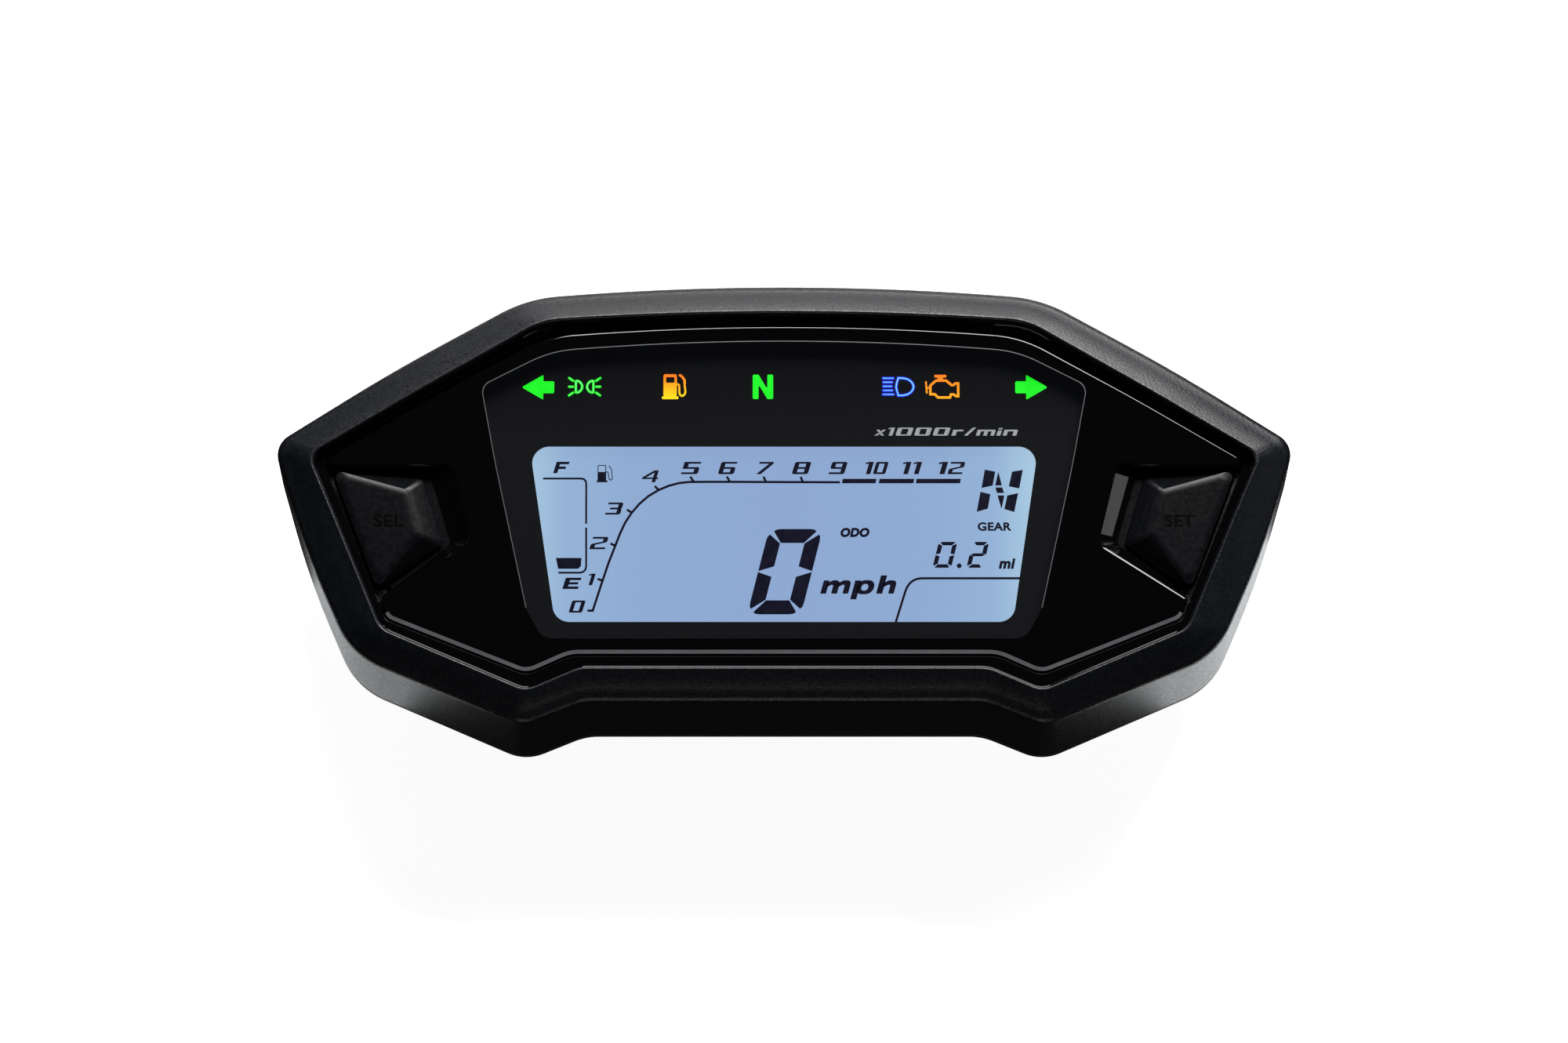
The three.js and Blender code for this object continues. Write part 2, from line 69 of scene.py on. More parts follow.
PARTING = low("front_case").z
CREST = high("front_case").z
TURN = CREST - 3
LENS_REAR = low("lens_surround").z
LENS_FRONT = high("lens_surround").z
PLATE_REAR = low("dial_plate").z
PLATE_FRONT = high("dial_plate").z
GLASS_FRONT = high("lcd_front_glass").z
FLANGE = 1.8
FLANGE_REAR = PARTING - FLANGE
VENT_STANDS_OUT = 1.1
BACK_OUTER = low("vent_plug").z + VENT_STANDS_OUT
BACK_WALL = 2
BACK_INNER = BACK_OUTER + BACK_WALL
BOARD_REAR = low("main_board").z


def centre(node):
    """The middle of a node's box, seen from the front."""
    corner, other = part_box(node)
    return (corner.x + other.x) / 2 / MM, (corner.y + other.y) / 2 / MM


BOSSES = [centre(f"threaded_insert_{i}") for i in (1, 2, 3)]
CASE_SCREWS = [centre(f"case_screw_{i}") for i in range(1, 7)]
BOARD_SCREWS = [centre(f"board_screw_{i}") for i in range(1, 5)]
SOCKET = centre("connector_shroud")
VENT = centre("vent_plug")

# ---------------------------------------------------------------- outlines

# Corners of the right half, from the top centre to the bottom centre: x, y, fillet radius and
# steps in the fillet. The left half is their mirror image.
TURN_CORNERS = [
    (0, 39.86, 467, 28), (44.1, 36.27, 24, 10), (66.93, 23.36, 300, 5), (86.92, 10.38, 4, 12),
    (81.35, -7.8, 150, 5), (73.03, -26.16, 14, 12), (43.88, -38.38, 5, 8), (33.65, -34.33, 8, 6),
]
CREST_CORNERS = [
    (0, 33.97, 560, 28), (41.35, 31.25, 14, 10), (61.88, 19.16, 300, 5), (80.52, 7.79, 2.9, 12),
    (75.8, -3.1, 300, 5), (67.75, -22.25, 4.5, 12), (43.24, -32.77, 4.2, 8), (34.24, -28.9, 6, 6),
]
LENS_CORNERS = [
    (0, 32.34, 450, 28), (40.43, 29.37, 22, 10), (60, 18.4, 300, 5), (78.1, 7.54, 2.5, 12),
    (72.9, -5.15, 300, 5), (66.8, -20.03, 2.2, 12), (43.24, -29.43, 4, 8), (35.92, -26.14, 7, 6),
]
WINDOW_CORNERS = [
    (0, 29.4, 440, 20), (39.75, 26.45, 20, 10), (51.6, 20.3, 2.2, 8), (48.9, 6.2, 200, 4),
    (43.4, -18.6, 3, 6), (40.6, -23.6, 3, 6),
]
TRAY_CORNERS = [
    (0, 30.4, 400, 20), (41, 27.2, 12, 8), (76, 5.4, 5, 10), (65, -17.5, 8, 10), (48, -25.5, 8, 8),
]
SKIRT_RADII = [467, 24, 300, 4, 150, 14, 8, 11]
SPREAD_X, SPREAD_Y = 1.0155, 1.048
SKIRT_CORNERS = [(x * SPREAD_X, y * SPREAD_Y, r, n) for (x, y, _, n), r in zip(TURN_CORNERS, SKIRT_RADII)]

# The lens outline with the pocket of each button cut into its side, at the front face and at
# the rear face: the pocket's walls slope between the two.
POCKET_FRONT = [(77.5, 6.15, 0.3, 3), (56.5, 6.3, 1.8, 8), (53.2, -6.9, 2.2, 8), (68.2, -16.6, 0.6, 3)]
POCKET_REAR = [(77.5, 5.95, 0.3, 3), (60, 5.3, 1.2, 8), (56.3, -6.6, 1.6, 8), (68.35, -16.2, 0.6, 3)]
LENS_SIDE_RADIUS = 1.6
LENS_LOWER_SIDE = POCKET_FRONT[-1][1] - 1.5

LCD_TOP, LCD_BOTTOM = 10.55, -20.1
LCD_TOP_HALF, LCD_BOTTOM_HALF = 43.4, 38.75
LCD_CORNER = 2.9
SMALLEST_RADIUS = 0.12


def mirrored(points):
    return [(-p[0], *p[1:]) for p in points]


def inset_loop(loop, distance):
    """Moves every edge of a clockwise corner loop inwards."""
    moved = []
    for i, (x, y, radius, steps) in enumerate(loop):
        before = Vector(loop[i - 1][:2])
        after = Vector(loop[(i + 1) % len(loop)][:2])
        here = Vector((x, y))
        into = (here - before).normalized()
        out = (after - here).normalized()
        turn = into.x * out.y - into.y * out.x
        shift = distance / (1 + into.dot(out))
        new_radius = max(SMALLEST_RADIUS, radius + math.copysign(distance, turn))
        moved.append((x + (into.y + out.y) * shift, y - (into.x + out.x) * shift, new_radius, steps))
    return moved


def fillet(before, corner, after):
    """Points along the arc that rounds one corner."""
    x, y, radius, steps = corner
    here = Vector((x, y))
    into = (here - Vector(before[:2])).normalized()
    out = (Vector(after[:2]) - here).normalized()
    turn = math.atan2(into.x * out.y - into.y * out.x, into.dot(out))
    tangent = radius * math.tan(abs(turn) / 2)
    side = math.copysign(1, turn)
    start = here - into * tangent
    middle = start + Vector((-into.y, into.x)) * side * radius
    first = math.atan2(start.y - middle.y, start.x - middle.x)
    points = []
    for i in range(steps + 1):
        angle = first + turn * i / steps
        points.append((middle.x + radius * math.cos(angle), middle.y + radius * math.sin(angle)))
    return points


def rounded(loop, inset=0.0):
    """The filleted outline of a clockwise corner loop, as counter-clockwise points."""
    loop = inset_loop(loop, inset)
    points = []
    for i, corner in enumerate(loop):
        points += fillet(loop[i - 1], corner, loop[(i + 1) % len(loop)])
    return points[::-1]


def whole(corners):
    """The full corner loop of a right half."""
    return corners + mirrored(corners[1:])[::-1]


def outline(corners, inset=0.0):
    return rounded(whole(corners), inset)


def inset_rings(corners, section):
    """Rings from the (inset, level) pairs of a section round one outline."""
    return [(outline(corners, inset), level) for inset, level in section]


def mix(ring_a, ring_b, share):
    """A ring part of the way from one ring to another."""
    return [(a[0] + (b[0] - a[0]) * share, a[1] + (b[1] - a[1]) * share) for a, b in zip(ring_a, ring_b)]


def surround_outline(pocket, inset=0.0):
    """The lens outline with both button pockets."""
    side = (*LENS_CORNERS[3][:2], LENS_SIDE_RADIUS, 12)
    return outline(LENS_CORNERS[:3] + [side] + pocket + LENS_CORNERS[5:], inset)


def lcd_outline(margin, corner):
    """The display's outline, wider at its top, grown by a margin."""
    lean = (LCD_TOP_HALF - LCD_BOTTOM_HALF) / (LCD_TOP - LCD_BOTTOM)
    top_half = LCD_TOP_HALF + margin * (1 + lean)
    bottom_half = LCD_BOTTOM_HALF + margin * (1 - lean)
    top, bottom = LCD_TOP + margin, LCD_BOTTOM - margin
    corners = [(-top_half, top), (top_half, top), (bottom_half, bottom), (-bottom_half, bottom)]
    return rounded([(x, y, corner, 10) for x, y in corners])


def rectangle(x, y, width, height, corner, steps=6):
    w, h = width / 2, height / 2
    corners = [(x - w, y + h), (x + w, y + h), (x + w, y - h), (x - w, y - h)]
    return rounded([(px, py, corner, steps) for px, py in corners])


def circle(x, y, radius, steps=48):
    turn = 2 * math.pi / steps
    return [(x + radius * math.cos(i * turn), y + radius * math.sin(i * turn)) for i in range(steps)]


def bezier(start, pull, end, steps):
    """Points of a quadratic curve, as (inset, level) pairs or (x, y) pairs."""
    points = []
    for i in range(steps + 1):
        t = i / steps
        a, b, c = (1 - t) ** 2, 2 * t * (1 - t), t * t
        points.append(tuple(a * s + b * p + c * e for s, p, e in zip(start, pull, end)))
    return points


# ---------------------------------------------------------------- mesh making

def add_ring(mesh, points, level):
    return [mesh.verts.new((x * MM, y * MM, level * MM)) for x, y in points]


def bridge(mesh, lower, upper):
    count = len(lower)
    for i in range(count):
        j = (i + 1) % count
        mesh.faces.new((lower[i], lower[j], upper[j], upper[i]))


def stack(mesh, rings):
    """Bridges (points, level) rings of equal length, and returns the first and last."""
    made = [add_ring(mesh, points, level) for points, level in rings]
    for lower, upper in zip(made, made[1:]):
        bridge(mesh, lower, upper)
    return made[0], made[-1]


def cap(mesh, ring, up=True):
    mesh.faces.new(ring if up else ring[::-1])


def fill_between(mesh, *rings):
    """Fills the flat area between an outer ring and the rings inside it."""
    edges = []
    for ring in rings:
        for i, vert in enumerate(ring):
            other = ring[(i + 1) % len(ring)]
            edges.append(mesh.edges.get((vert, other)) or mesh.edges.new((vert, other)))
    bmesh.ops.triangle_fill(mesh, use_beauty=True, use_dissolve=False, edges=edges)


def solid(mesh, rings):
    """A closed solid through (points, level) rings, from the lowest to the highest."""
    first, last = stack(mesh, rings)
    cap(mesh, first, up=False)
    cap(mesh, last)


def prism(mesh, points, bottom, top):
    solid(mesh, [(points, bottom), (points, top)])


def hollow(mesh, rings):
    """A closed tube: the section given by the rings comes back to its first ring."""
    first, last = stack(mesh, rings)
    bridge(mesh, last, first)


def tube(mesh, outer, inner, bottom, top):
    """A closed band between two outlines of equal length."""
    hollow(mesh, [(inner, bottom), (outer, bottom), (outer, top), (inner, top)])


def turned(x, y, profile, steps=48):
    """The rings of a solid of revolution, from (radius, level) pairs."""
    return [(circle(x, y, radius, steps), level) for radius, level in profile]


def finish_mesh(name, mesh, material, sharp=30, weighted=True):
    """Turns a mesh into an object that is shaded smooth, but for edges above an angle in degrees."""
    bmesh.ops.recalc_face_normals(mesh, faces=mesh.faces)
    title = name.replace(" ", "_")
    data = bpy.data.meshes.new(title)
    mesh.to_mesh(data)
    mesh.free()
    data.shade_smooth()
    data.set_sharp_from_angle(angle=math.radians(sharp))
    piece = bpy.data.objects.new(title, data)
    bpy.context.scene.collection.objects.link(piece)
    if material:
        data.materials.append(material)
    if weighted:
        even_shading(piece)
    return piece


def even_shading(piece):
    modifier = piece.modifiers.new("even shading", "WEIGHTED_NORMAL")
    modifier.keep_sharp = True
    modifier.weight = 60


def declare(piece, body="housing", stands_for=()):
    """Parents a piece to its body's empty and hides the CAD nodes it stands for."""
    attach(piece, body)
    if stands_for:
        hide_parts(*stands_for)
    return piece


def carve(piece, *tools, added=(), sharp=30):
    """Joins the added solids to a piece, cuts the tools out of it and removes them all."""
    for modifier in list(piece.modifiers):
        piece.modifiers.remove(modifier)
    for tool in (*added, *tools):
        modifier = piece.modifiers.new("carve", "BOOLEAN")
        modifier.operation = "UNION" if tool in added else "DIFFERENCE"
        modifier.solver = "EXACT"
        modifier.object = tool
    graph = bpy.context.evaluated_depsgraph_get()
    result = bpy.data.meshes.new_from_object(piece.evaluated_get(graph))
    piece.modifiers.clear()
    old = piece.data
    piece.data = result
    bpy.data.meshes.remove(old)
    result.name = piece.name
    result.shade_smooth()
    result.set_sharp_from_angle(angle=math.radians(sharp))
    even_shading(piece)
    for tool in (*added, *tools):
        used = tool.data
        bpy.data.objects.remove(tool)
        bpy.data.meshes.remove(used)


def bare(name, mesh):
    """An object with no modifiers or material, to join to a piece or to cut it with."""
    return finish_mesh(name, mesh, None, weighted=False)


def ring_piece(name, rings, material, sharp=30, shape=solid):
    """One piece from (points, level) rings, as a solid or a hollow."""
    mesh = bmesh.new()
    shape(mesh, rings)
    return finish_mesh(name, mesh, material, sharp)


def ring_tool(name, rings):
    """A solid from (points, level) rings, to join to a piece or to cut it with."""
    mesh = bmesh.new()
    solid(mesh, rings)
    return bare(name, mesh)


def flat_solids(name, shapes, bottom, top):
    """Prisms over several flat shapes, as one solid to join or to cut with."""
    mesh = bmesh.new()
    for shape in shapes:
        prism(mesh, shape, bottom, top)
    return bare(name, mesh)


def soften(piece, width):
    """Rounds the sharp edges of a carried-over CAD piece."""
    weld = piece.modifiers.new("weld", "WELD")
    weld.merge_threshold = 1e-7
    bevel = piece.modifiers.new("rounded edges", "BEVEL")
    bevel.width = width * MM
    bevel.segments = 2
    bevel.limit_method = "ANGLE"
    bevel.angle_limit = math.radians(50)
    bevel.harden_normals = True


# ---------------------------------------------------------------- materials

def new_material(name, colour, roughness, metallic=0.0, specular=0.5):
    """A new material with its shader, both without textures."""
    material = bpy.data.materials.new(name)
    material.use_nodes = True
    shader = material.node_tree.nodes["Principled BSDF"]
    fill_in(shader, Base_Color=(*colour, 1), Roughness=roughness, Metallic=metallic,
            Specular_IOR_Level=specular)
    return material, shader


def fill_in(node, **values):
    """Sets inputs of a node by name, with _ for each space."""
    for name, value in values.items():
        node.inputs[name.replace("_", " ")].default_value = value


def add_node(shader, kind, **values):
    """A new node in a shader's material."""
    node = shader.id_data.nodes.new("ShaderNode" + kind)
    fill_in(node, **values)
    return node


def link(source, target):
    target.id_data.links.new(source, target)


def object_space(shader):
    return add_node(shader, "TexCoord").outputs["Object"]


def noise(shader, scale, detail=4, roughness=0.55, stretch=None):
    """A noise texture in the object's own space, as an output to link."""
    texture = add_node(shader, "TexNoise", Scale=scale, Detail=detail, Roughness=roughness)
    source = object_space(shader)
    if stretch:
        mapping = add_node(shader, "Mapping", Scale=stretch)
        link(source, mapping.inputs["Vector"])
        source = mapping.outputs["Vector"]
    link(source, texture.inputs["Vector"])
    return texture.outputs[0]


def relief(shader, source, depth, strength):
    """Bumps the surface by a texture; depth in millimetres."""
    bump = add_node(shader, "Bump", Distance=depth * MM, Strength=strength)
    link(source, bump.inputs["Height"])
    normal = shader.inputs["Normal"]
    if normal.is_linked:
        link(normal.links[0].from_socket, bump.inputs["Normal"])
    link(bump.outputs["Normal"], normal)


def vary(shader, source, first, last, start=0.3, end=0.7):
    """Lets a texture move the roughness between two values."""
    spread = add_node(shader, "MapRange", From_Min=start, From_Max=end, To_Min=first, To_Max=last)
    link(source, spread.inputs["Value"])
    link(spread.outputs["Result"], shader.inputs["Roughness"])


def tint(shader, source, stops, socket="Base Color"):
    """Colours a socket by a ramp over a texture or a position."""
    ramp = add_node(shader, "ValToRGB")
    points = ramp.color_ramp.elements
    while len(points) < len(stops):
        points.new(0.5)
    for point, (position, colour) in zip(points, stops):
        point.position = position
        point.color = (*colour, 1)
    link(source, ramp.inputs["Fac"])
    link(ramp.outputs["Color"], shader.inputs[socket])


def along(shader, axis, first, last):
    """A 0 to 1 value along one axis of the object, between two places in millimetres."""
    split = add_node(shader, "SeparateXYZ")
    spread = add_node(shader, "MapRange", From_Min=first * MM, From_Max=last * MM)
    link(object_space(shader), split.inputs["Vector"])
    link(split.outputs[axis], spread.inputs["Value"])
    return spread.outputs["Result"]


def surface(name, colour, roughness, bumps=(), shine=None, tones=None, **more):
    """A material with noise in its relief, its gloss and its colour.

    bumps lists (scale, detail, depth, strength) and perhaps the noise's own roughness. shine is
    (scale, detail, smoothest, roughest) and tones is (scale, detail, darker, lighter).
    """
    material, shader = new_material(name, colour, roughness, **more)
    for scale, detail, depth, strength, *grain in bumps:
        relief(shader, noise(shader, scale, detail, *grain), depth, strength)
    if shine:
        vary(shader, noise(shader, *shine[:2]), *shine[2:])
    if tones:
        scale, detail, darker, lighter = tones
        tint(shader, noise(shader, scale, detail), [(0.35, darker), (0.65, lighter)])
    return material, shader


def housing_plastic():
    """Black glass-filled plastic with a fine spark-eroded grain."""
    tones = (700, 6, (0.0045, 0.0053, 0.0075), (0.0075, 0.0085, 0.011))
    material, shader = surface("housing plastic", (0.0085, 0.0095, 0.012), 0.34, tones=tones)
    grain = noise(shader, 2100, 4, 0.7)
    relief(shader, grain, 0.06, 0.9)
    relief(shader, noise(shader, 90, 2), 0.02, 0.3)
    vary(shader, grain, 0.25, 0.41, 0.37, 0.63)
    return material


def case_plastic():
    """The rear case: the same plastic with a coarser, flatter grain."""
    tones = (320, 6, (0.0095, 0.010, 0.0115), (0.0135, 0.0142, 0.016))
    return surface("rear case plastic", (0.011, 0.0115, 0.013), 0.5, [(2300, 4, 0.04, 0.6, 0.6)],
                   (260, 5, 0.44, 0.58), tones)[0]


def surround_gloss():
    """Piano black moulding: deep gloss with a slight mould waviness."""
    return surface("surround gloss", (0.0016, 0.0016, 0.0021), 0.05, [(60, 2, 0.01, 0.2)],
                   (800, 5, 0.035, 0.075))[0]


def painted_highlight_edge(name, glow):
    """A grey edge of the cover with a faint glow: a painted highlight for the light that its edge catches."""
    material, shader = surface(name, (0.05, 0.052, 0.056), 0.45, [(2500, 3, 0.01, 0.4)])
    tint(shader, noise(shader, 300, 3),
         [(0.35, (0.064, 0.067, 0.071)), (0.65, (0.078, 0.081, 0.086))], "Emission Color")
    fill_in(shader, Emission_Strength=glow)
    return material


def window_clear():
    """Hard coated clear window with a faint grey tint."""
    material, shader = surface("window clear", (0.02, 0.022, 0.026), 0.04, shine=(600, 5, 0.03, 0.06))
    fill_in(shader, Alpha=0.12, Coat_Weight=0.4, Coat_Roughness=0.03)
    material.surface_render_method = "BLENDED"
    return material


def dial_print():
    """Matt black screen print, with painted shade that darkens it towards the top, under the rim."""
    material, shader = surface("dial print", (0.003, 0.003, 0.0035), 0.44, [(5200, 3, 0.012, 0.5)],
                               (1500, 6, 0.4, 0.48), specular=0.06)
    # Painted shade: the base colour darkens towards the top of the plate, where the rim shades it.
    rim_shade_ramp = along(shader, 1, 11, 24)
    tint(shader, rim_shade_ramp, [(0.0, (0.0066, 0.0066, 0.0073)), (1.0, (0.0003, 0.0003, 0.0004))])
    return material


def button_rubber():
    """Dark grey moulded rubber with a speckled texture."""
    material, shader = surface("button rubber", (0.003, 0.0033, 0.0045), 0.32,
                               [(3000, 4, 0.02, 0.6, 0.65)], (900, 4, 0.27, 0.36), specular=0.22)
    tint(shader, noise(shader, 1800, 6),
         [(0.35, (0.0022, 0.0025, 0.0034)), (0.68, (0.0048, 0.0052, 0.0063))])
    return material


def button_legend():
    """Satin black fill at the bottom of the recessed letters."""
    return surface("button legend", (0.0006, 0.0006, 0.0007), 0.6, [(2500, 3, 0.02, 0.4)], specular=0.04)[0]


def white_plastic():
    return surface("white plastic", (0.76, 0.78, 0.8), 0.4, [(1900, 3, 0.02, 0.4)], (300, 4, 0.34, 0.46))[0]


def baffle_plastic():
    return surface("baffle plastic", (0.010, 0.010, 0.011), 0.7, [(2400, 4, 0.03, 0.5)],
                   (400, 4, 0.62, 0.76), specular=0.25)[0]


def lcd_glass():
    """The lit display: pale blue, brighter and greener towards the two side lamps."""
    material, shader = surface("lcd glass", (0.02, 0.03, 0.05), 0.12, [(4500, 2, 0.004, 0.3)])
    core, middle, edge = (0.335, 0.485, 0.79), (0.345, 0.505, 0.80), (0.37, 0.56, 0.84)
    left, right = (0.47, 0.70, 0.90), (0.51, 0.76, 0.95)
    tint(shader, along(shader, 0, -LCD_TOP_HALF, LCD_TOP_HALF),
         [(0.0, left), (0.07, edge), (0.2, middle), (0.5, core), (0.8, middle), (0.91, edge), (1.0, right)],
         "Emission Color")
    fill_in(shader, Emission_Strength=1.0)
    return material


def lcd_segment():
    """Driven liquid crystal: almost black with a violet cast."""
    return surface("lcd segment", (0.003, 0.0024, 0.022), 0.3, [(4000, 2, 0.004, 0.3)],
                   (700, 3, 0.24, 0.36), specular=0.3)[0]


def plain_glass():
    """Rear LCD glass with its polariser film."""
    return surface("polariser glass", (0.10, 0.13, 0.18), 0.12, shine=(500, 4, 0.08, 0.18))[0]


def light_guide():
    """Acrylic sheet with a moulded pattern of fine dots."""
    material, shader = new_material("light guide", (0.72, 0.78, 0.84), 0.2)
    dots = add_node(shader, "TexVoronoi", Scale=900)
    link(object_space(shader), dots.inputs["Vector"])
    relief(shader, dots.outputs[0], 0.03, 0.4)
    return material


def lamp(name, colour, strength, core=None):
    """A lit symbol: translucent ink over a small lamp, a little brighter in places."""
    material, shader = new_material(name, tuple(0.2 * part for part in colour), 0.35)
    paler = core or tuple(min(1, part * 1.25 + 0.01) for part in colour)
    tint(shader, noise(shader, 420, 3), [(0.32, colour), (0.7, paler)], "Emission Color")
    fill_in(shader, Emission_Strength=strength)
    return material


def warm_lamp(name, bottom, top, low_green, high_green):
    """A warning sign: orange at the top and yellower towards its lamp below."""
    material, shader = surface(name, (0.2, 0.05, 0.0), 0.35, [(2500, 2, 0.005, 0.3)])
    tint(shader, along(shader, 1, bottom, top),
         [(0.0, (1.0, low_green, 0.0)), (1.0, (1.0, high_green, 0.0))], "Emission Color")
    fill_in(shader, Emission_Strength=1.25)
    return material


def legend_print():
    """Light grey printed scale note."""
    tones = (1500, 4, (0.32, 0.33, 0.35), (0.41, 0.42, 0.44))
    material, shader = surface("legend print", (0.5, 0.51, 0.53), 0.5, tones=tones)
    fill_in(shader, Emission_Color=(0.9, 0.95, 1, 1), Emission_Strength=0.17)
    return material


def circuit_board():
    """Green solder mask over copper."""
    material, shader = surface("circuit board", (0.010, 0.075, 0.028), 0.35, shine=(500, 4, 0.28, 0.42))
    tracks = add_node(shader, "TexBrick", Scale=260, Color1=(0.008, 0.062, 0.022, 1),
                      Color2=(0.010, 0.078, 0.028, 1), Mortar=(0.016, 0.12, 0.045, 1))
    link(object_space(shader), tracks.inputs["Vector"])
    link(tracks.outputs["Color"], shader.inputs["Base Color"])
    return material


def chip_epoxy():
    return surface("chip epoxy", (0.009, 0.009, 0.010), 0.5, [(3800, 4, 0.02, 0.5)], (900, 4, 0.42, 0.58))[0]


def led_package():
    tones = (800, 3, (0.80, 0.72, 0.42), (0.86, 0.82, 0.62))
    return surface("led package", (0.82, 0.76, 0.5), 0.3, tones=tones)[0]


def gasket_silicone():
    return surface("gasket silicone", (0.22, 0.035, 0.026), 0.65, [(1400, 4, 0.03, 0.5)],
                   (300, 4, 0.56, 0.74))[0]


def metal(name, colour, darker, smoothest, roughest, stretch):
    """Turned or drawn metal with fine marks along its surface."""
    material, shader = surface(name, colour, smoothest, tones=(350, 4, darker, colour), metallic=1.0)
    marks = noise(shader, 1500, 5, 0.6, stretch)
    relief(shader, marks, 0.01, 0.4)
    vary(shader, marks, smoothest, roughest)
    return material


HOUSING = housing_plastic()
CASE = case_plastic()
SURROUND = surround_gloss()
# Grey edge strips with a faint glow: painted highlights along the lower side of the lens and round the
# window's top.
LENS_EDGE_HIGHLIGHT = painted_highlight_edge("painted highlight edge", 1.0)
WINDOW_BEAD_HIGHLIGHT = painted_highlight_edge("window bead highlight", 0.55)
WINDOW = window_clear()
DIAL = dial_print()
RUBBER = button_rubber()
LEGEND = button_legend()
WHITE = white_plastic()
BAFFLE = baffle_plastic()
LCD = lcd_glass()
SEGMENT = lcd_segment()
POLARISER = plain_glass()
GUIDE = light_guide()
GREEN = lamp("lamp green", (0.0, 0.9, 0.008), 1.15)
PALE_GREEN = lamp("lamp pale green", (0.16, 0.92, 0.22), 1.1, (0.3, 0.98, 0.34))
BLUE = lamp("lamp blue", (0.012, 0.03, 0.95), 1.1, (0.03, 0.08, 1.0))
PALE_BLUE = lamp("lamp pale blue", (0.17, 0.66, 1.0), 1.15, (0.30, 0.80, 1.0))
PRINT = legend_print()
BOARD = circuit_board()
CHIP = chip_epoxy()
LED = led_package()
SILICONE = gasket_silicone()
BRASS = metal("brass", (0.72, 0.48, 0.17), (0.55, 0.35, 0.11), 0.28, 0.42, (1, 1, 12))
STEEL = metal("screw steel", (0.46, 0.46, 0.47), (0.33, 0.33, 0.345), 0.26, 0.4, (1, 1, 8))
ALUMINIUM = metal("aluminium can", (0.66, 0.67, 0.69), (0.54, 0.55, 0.57), 0.3, 0.42, (1, 1, 10))


# ---------------------------------------------------------------- front case

def rim_rings():
    """The rim's section from the skirt to the lens seat, as outlines with their levels."""
    foot, bend, brow, brim = PARTING + 0.3, TURN - 1.3, TURN + 0.65, CREST - 0.2
    ledge = LENS_REAR - 1.8
    rings = inset_rings(SKIRT_CORNERS, [(0.25, PARTING), (0, foot)])
    for share in (0.35, 0.7):
        wall = mix(outline(SKIRT_CORNERS), outline(TURN_CORNERS), share)
        rings.append((wall, foot + (bend - foot) * share))
    rings += inset_rings(TURN_CORNERS, bezier((0, bend), (0, TURN + 0.2), (1.6, brow), 6))
    for share in (0.2, 0.4, 0.6, 0.8):
        crown = 0.15 * math.sin(math.pi * share)
        slope = mix(outline(TURN_CORNERS, 1.6), outline(CREST_CORNERS, -0.5), share)
        rings.append((slope, brow + (brim - brow) * share + crown))
    rings += inset_rings(CREST_CORNERS, bezier((-0.5, brim), (-0.04, CREST + 0.06), (0.12, CREST - 0.42), 7))
    rings += inset_rings(CREST_CORNERS, [(0.3, LENS_FRONT + 0.25), (0.5, LENS_FRONT - 0.35)])
    rings += inset_rings(LENS_CORNERS, [(-0.5, LENS_FRONT - 0.4), (-0.3, LENS_FRONT - 0.6), (-0.3, LENS_REAR),
                                        (1.6, LENS_REAR), (1.6, ledge)])
    return rings + inset_rings(TURN_CORNERS, [(2.8, ledge)]) + inset_rings(SKIRT_CORNERS, [(2.2, PARTING)])


def front_case():
    """The rim and skirt in one moulding, with a way cut for each button."""
    case = ring_piece("front case", rim_rings(), HOUSING, 28, hollow)
    ways = []
    for side in (1, -1):
        way = rounded([(side * x, y, 1.4, 6) for x, y in grown_base(0.45)][::side])
        ways.append(flat_solids("button way", [way], BUTTON_HOLLOW - 2, LENS_FRONT - 0.05))
    carve(case, *ways, sharp=28)
    return declare(case, stands_for=["front_case"])


def rim_channel_shade_lining():
    """A gloss black strip laid over the channel between the rim and the lens, as painted shade where the
    channel lies in shadow.
    """
    # Painted shade: a dark gloss sheet stands in for the shadow in the channel.
    section = [(CREST_CORNERS, 0.34, -0.2), (CREST_CORNERS, 0.56, 0.3), (LENS_CORNERS, -0.5, 0.36),
               (LENS_CORNERS, -0.36, 0.5), (LENS_CORNERS, -0.3, 0.5), (LENS_CORNERS, -0.36, 0.42),
               (LENS_CORNERS, -0.5, 0.3), (CREST_CORNERS, 0.66, 0.22), (CREST_CORNERS, 0.42, -0.2)]
    rings = [(outline(corners, inset), LENS_FRONT - drop) for corners, inset, drop in section]
    return declare(ring_piece("rim channel shade lining", rings, SURROUND, shape=hollow))


# ---------------------------------------------------------------- buttons

BUTTON_FACE = [(76.2, 5.3), (68.5, -14.6), (62.0, -5.5), (64.0, 1.9)]
BUTTON_BASE = [(76.6, 5.6), (68.6, -14.9), (57.6, -7), (61.2, 4.6)]
BUTTON_TAB = [(72, 7), (66.6, -15.4), (54.6, -7.4), (58.4, 6.4)]
BUTTON_HOLLOW = LENS_FRONT - 6.4
BUTTON_TAB_REAR = LENS_FRONT - 4.1
BUTTON_SKIRT = LENS_FRONT - 2.1
STEM = (66.5, -3)
WORD_MIDDLE, WORD_HALF = 66.9, 2.55
WORD_TOP, WORD_FOOT = -2.2, -4.35
WORD_DEPTH = 0.05


def grown_base(distance):
    loop = inset_loop([(x, y, 1, 1) for x, y in BUTTON_BASE], -distance)
    return [(x, y) for x, y, _, _ in loop]


def button_outline(loop, side, corner, inset=0.0):
    return rounded([(side * x, y, corner, 7) for x, y in loop][::side], inset)


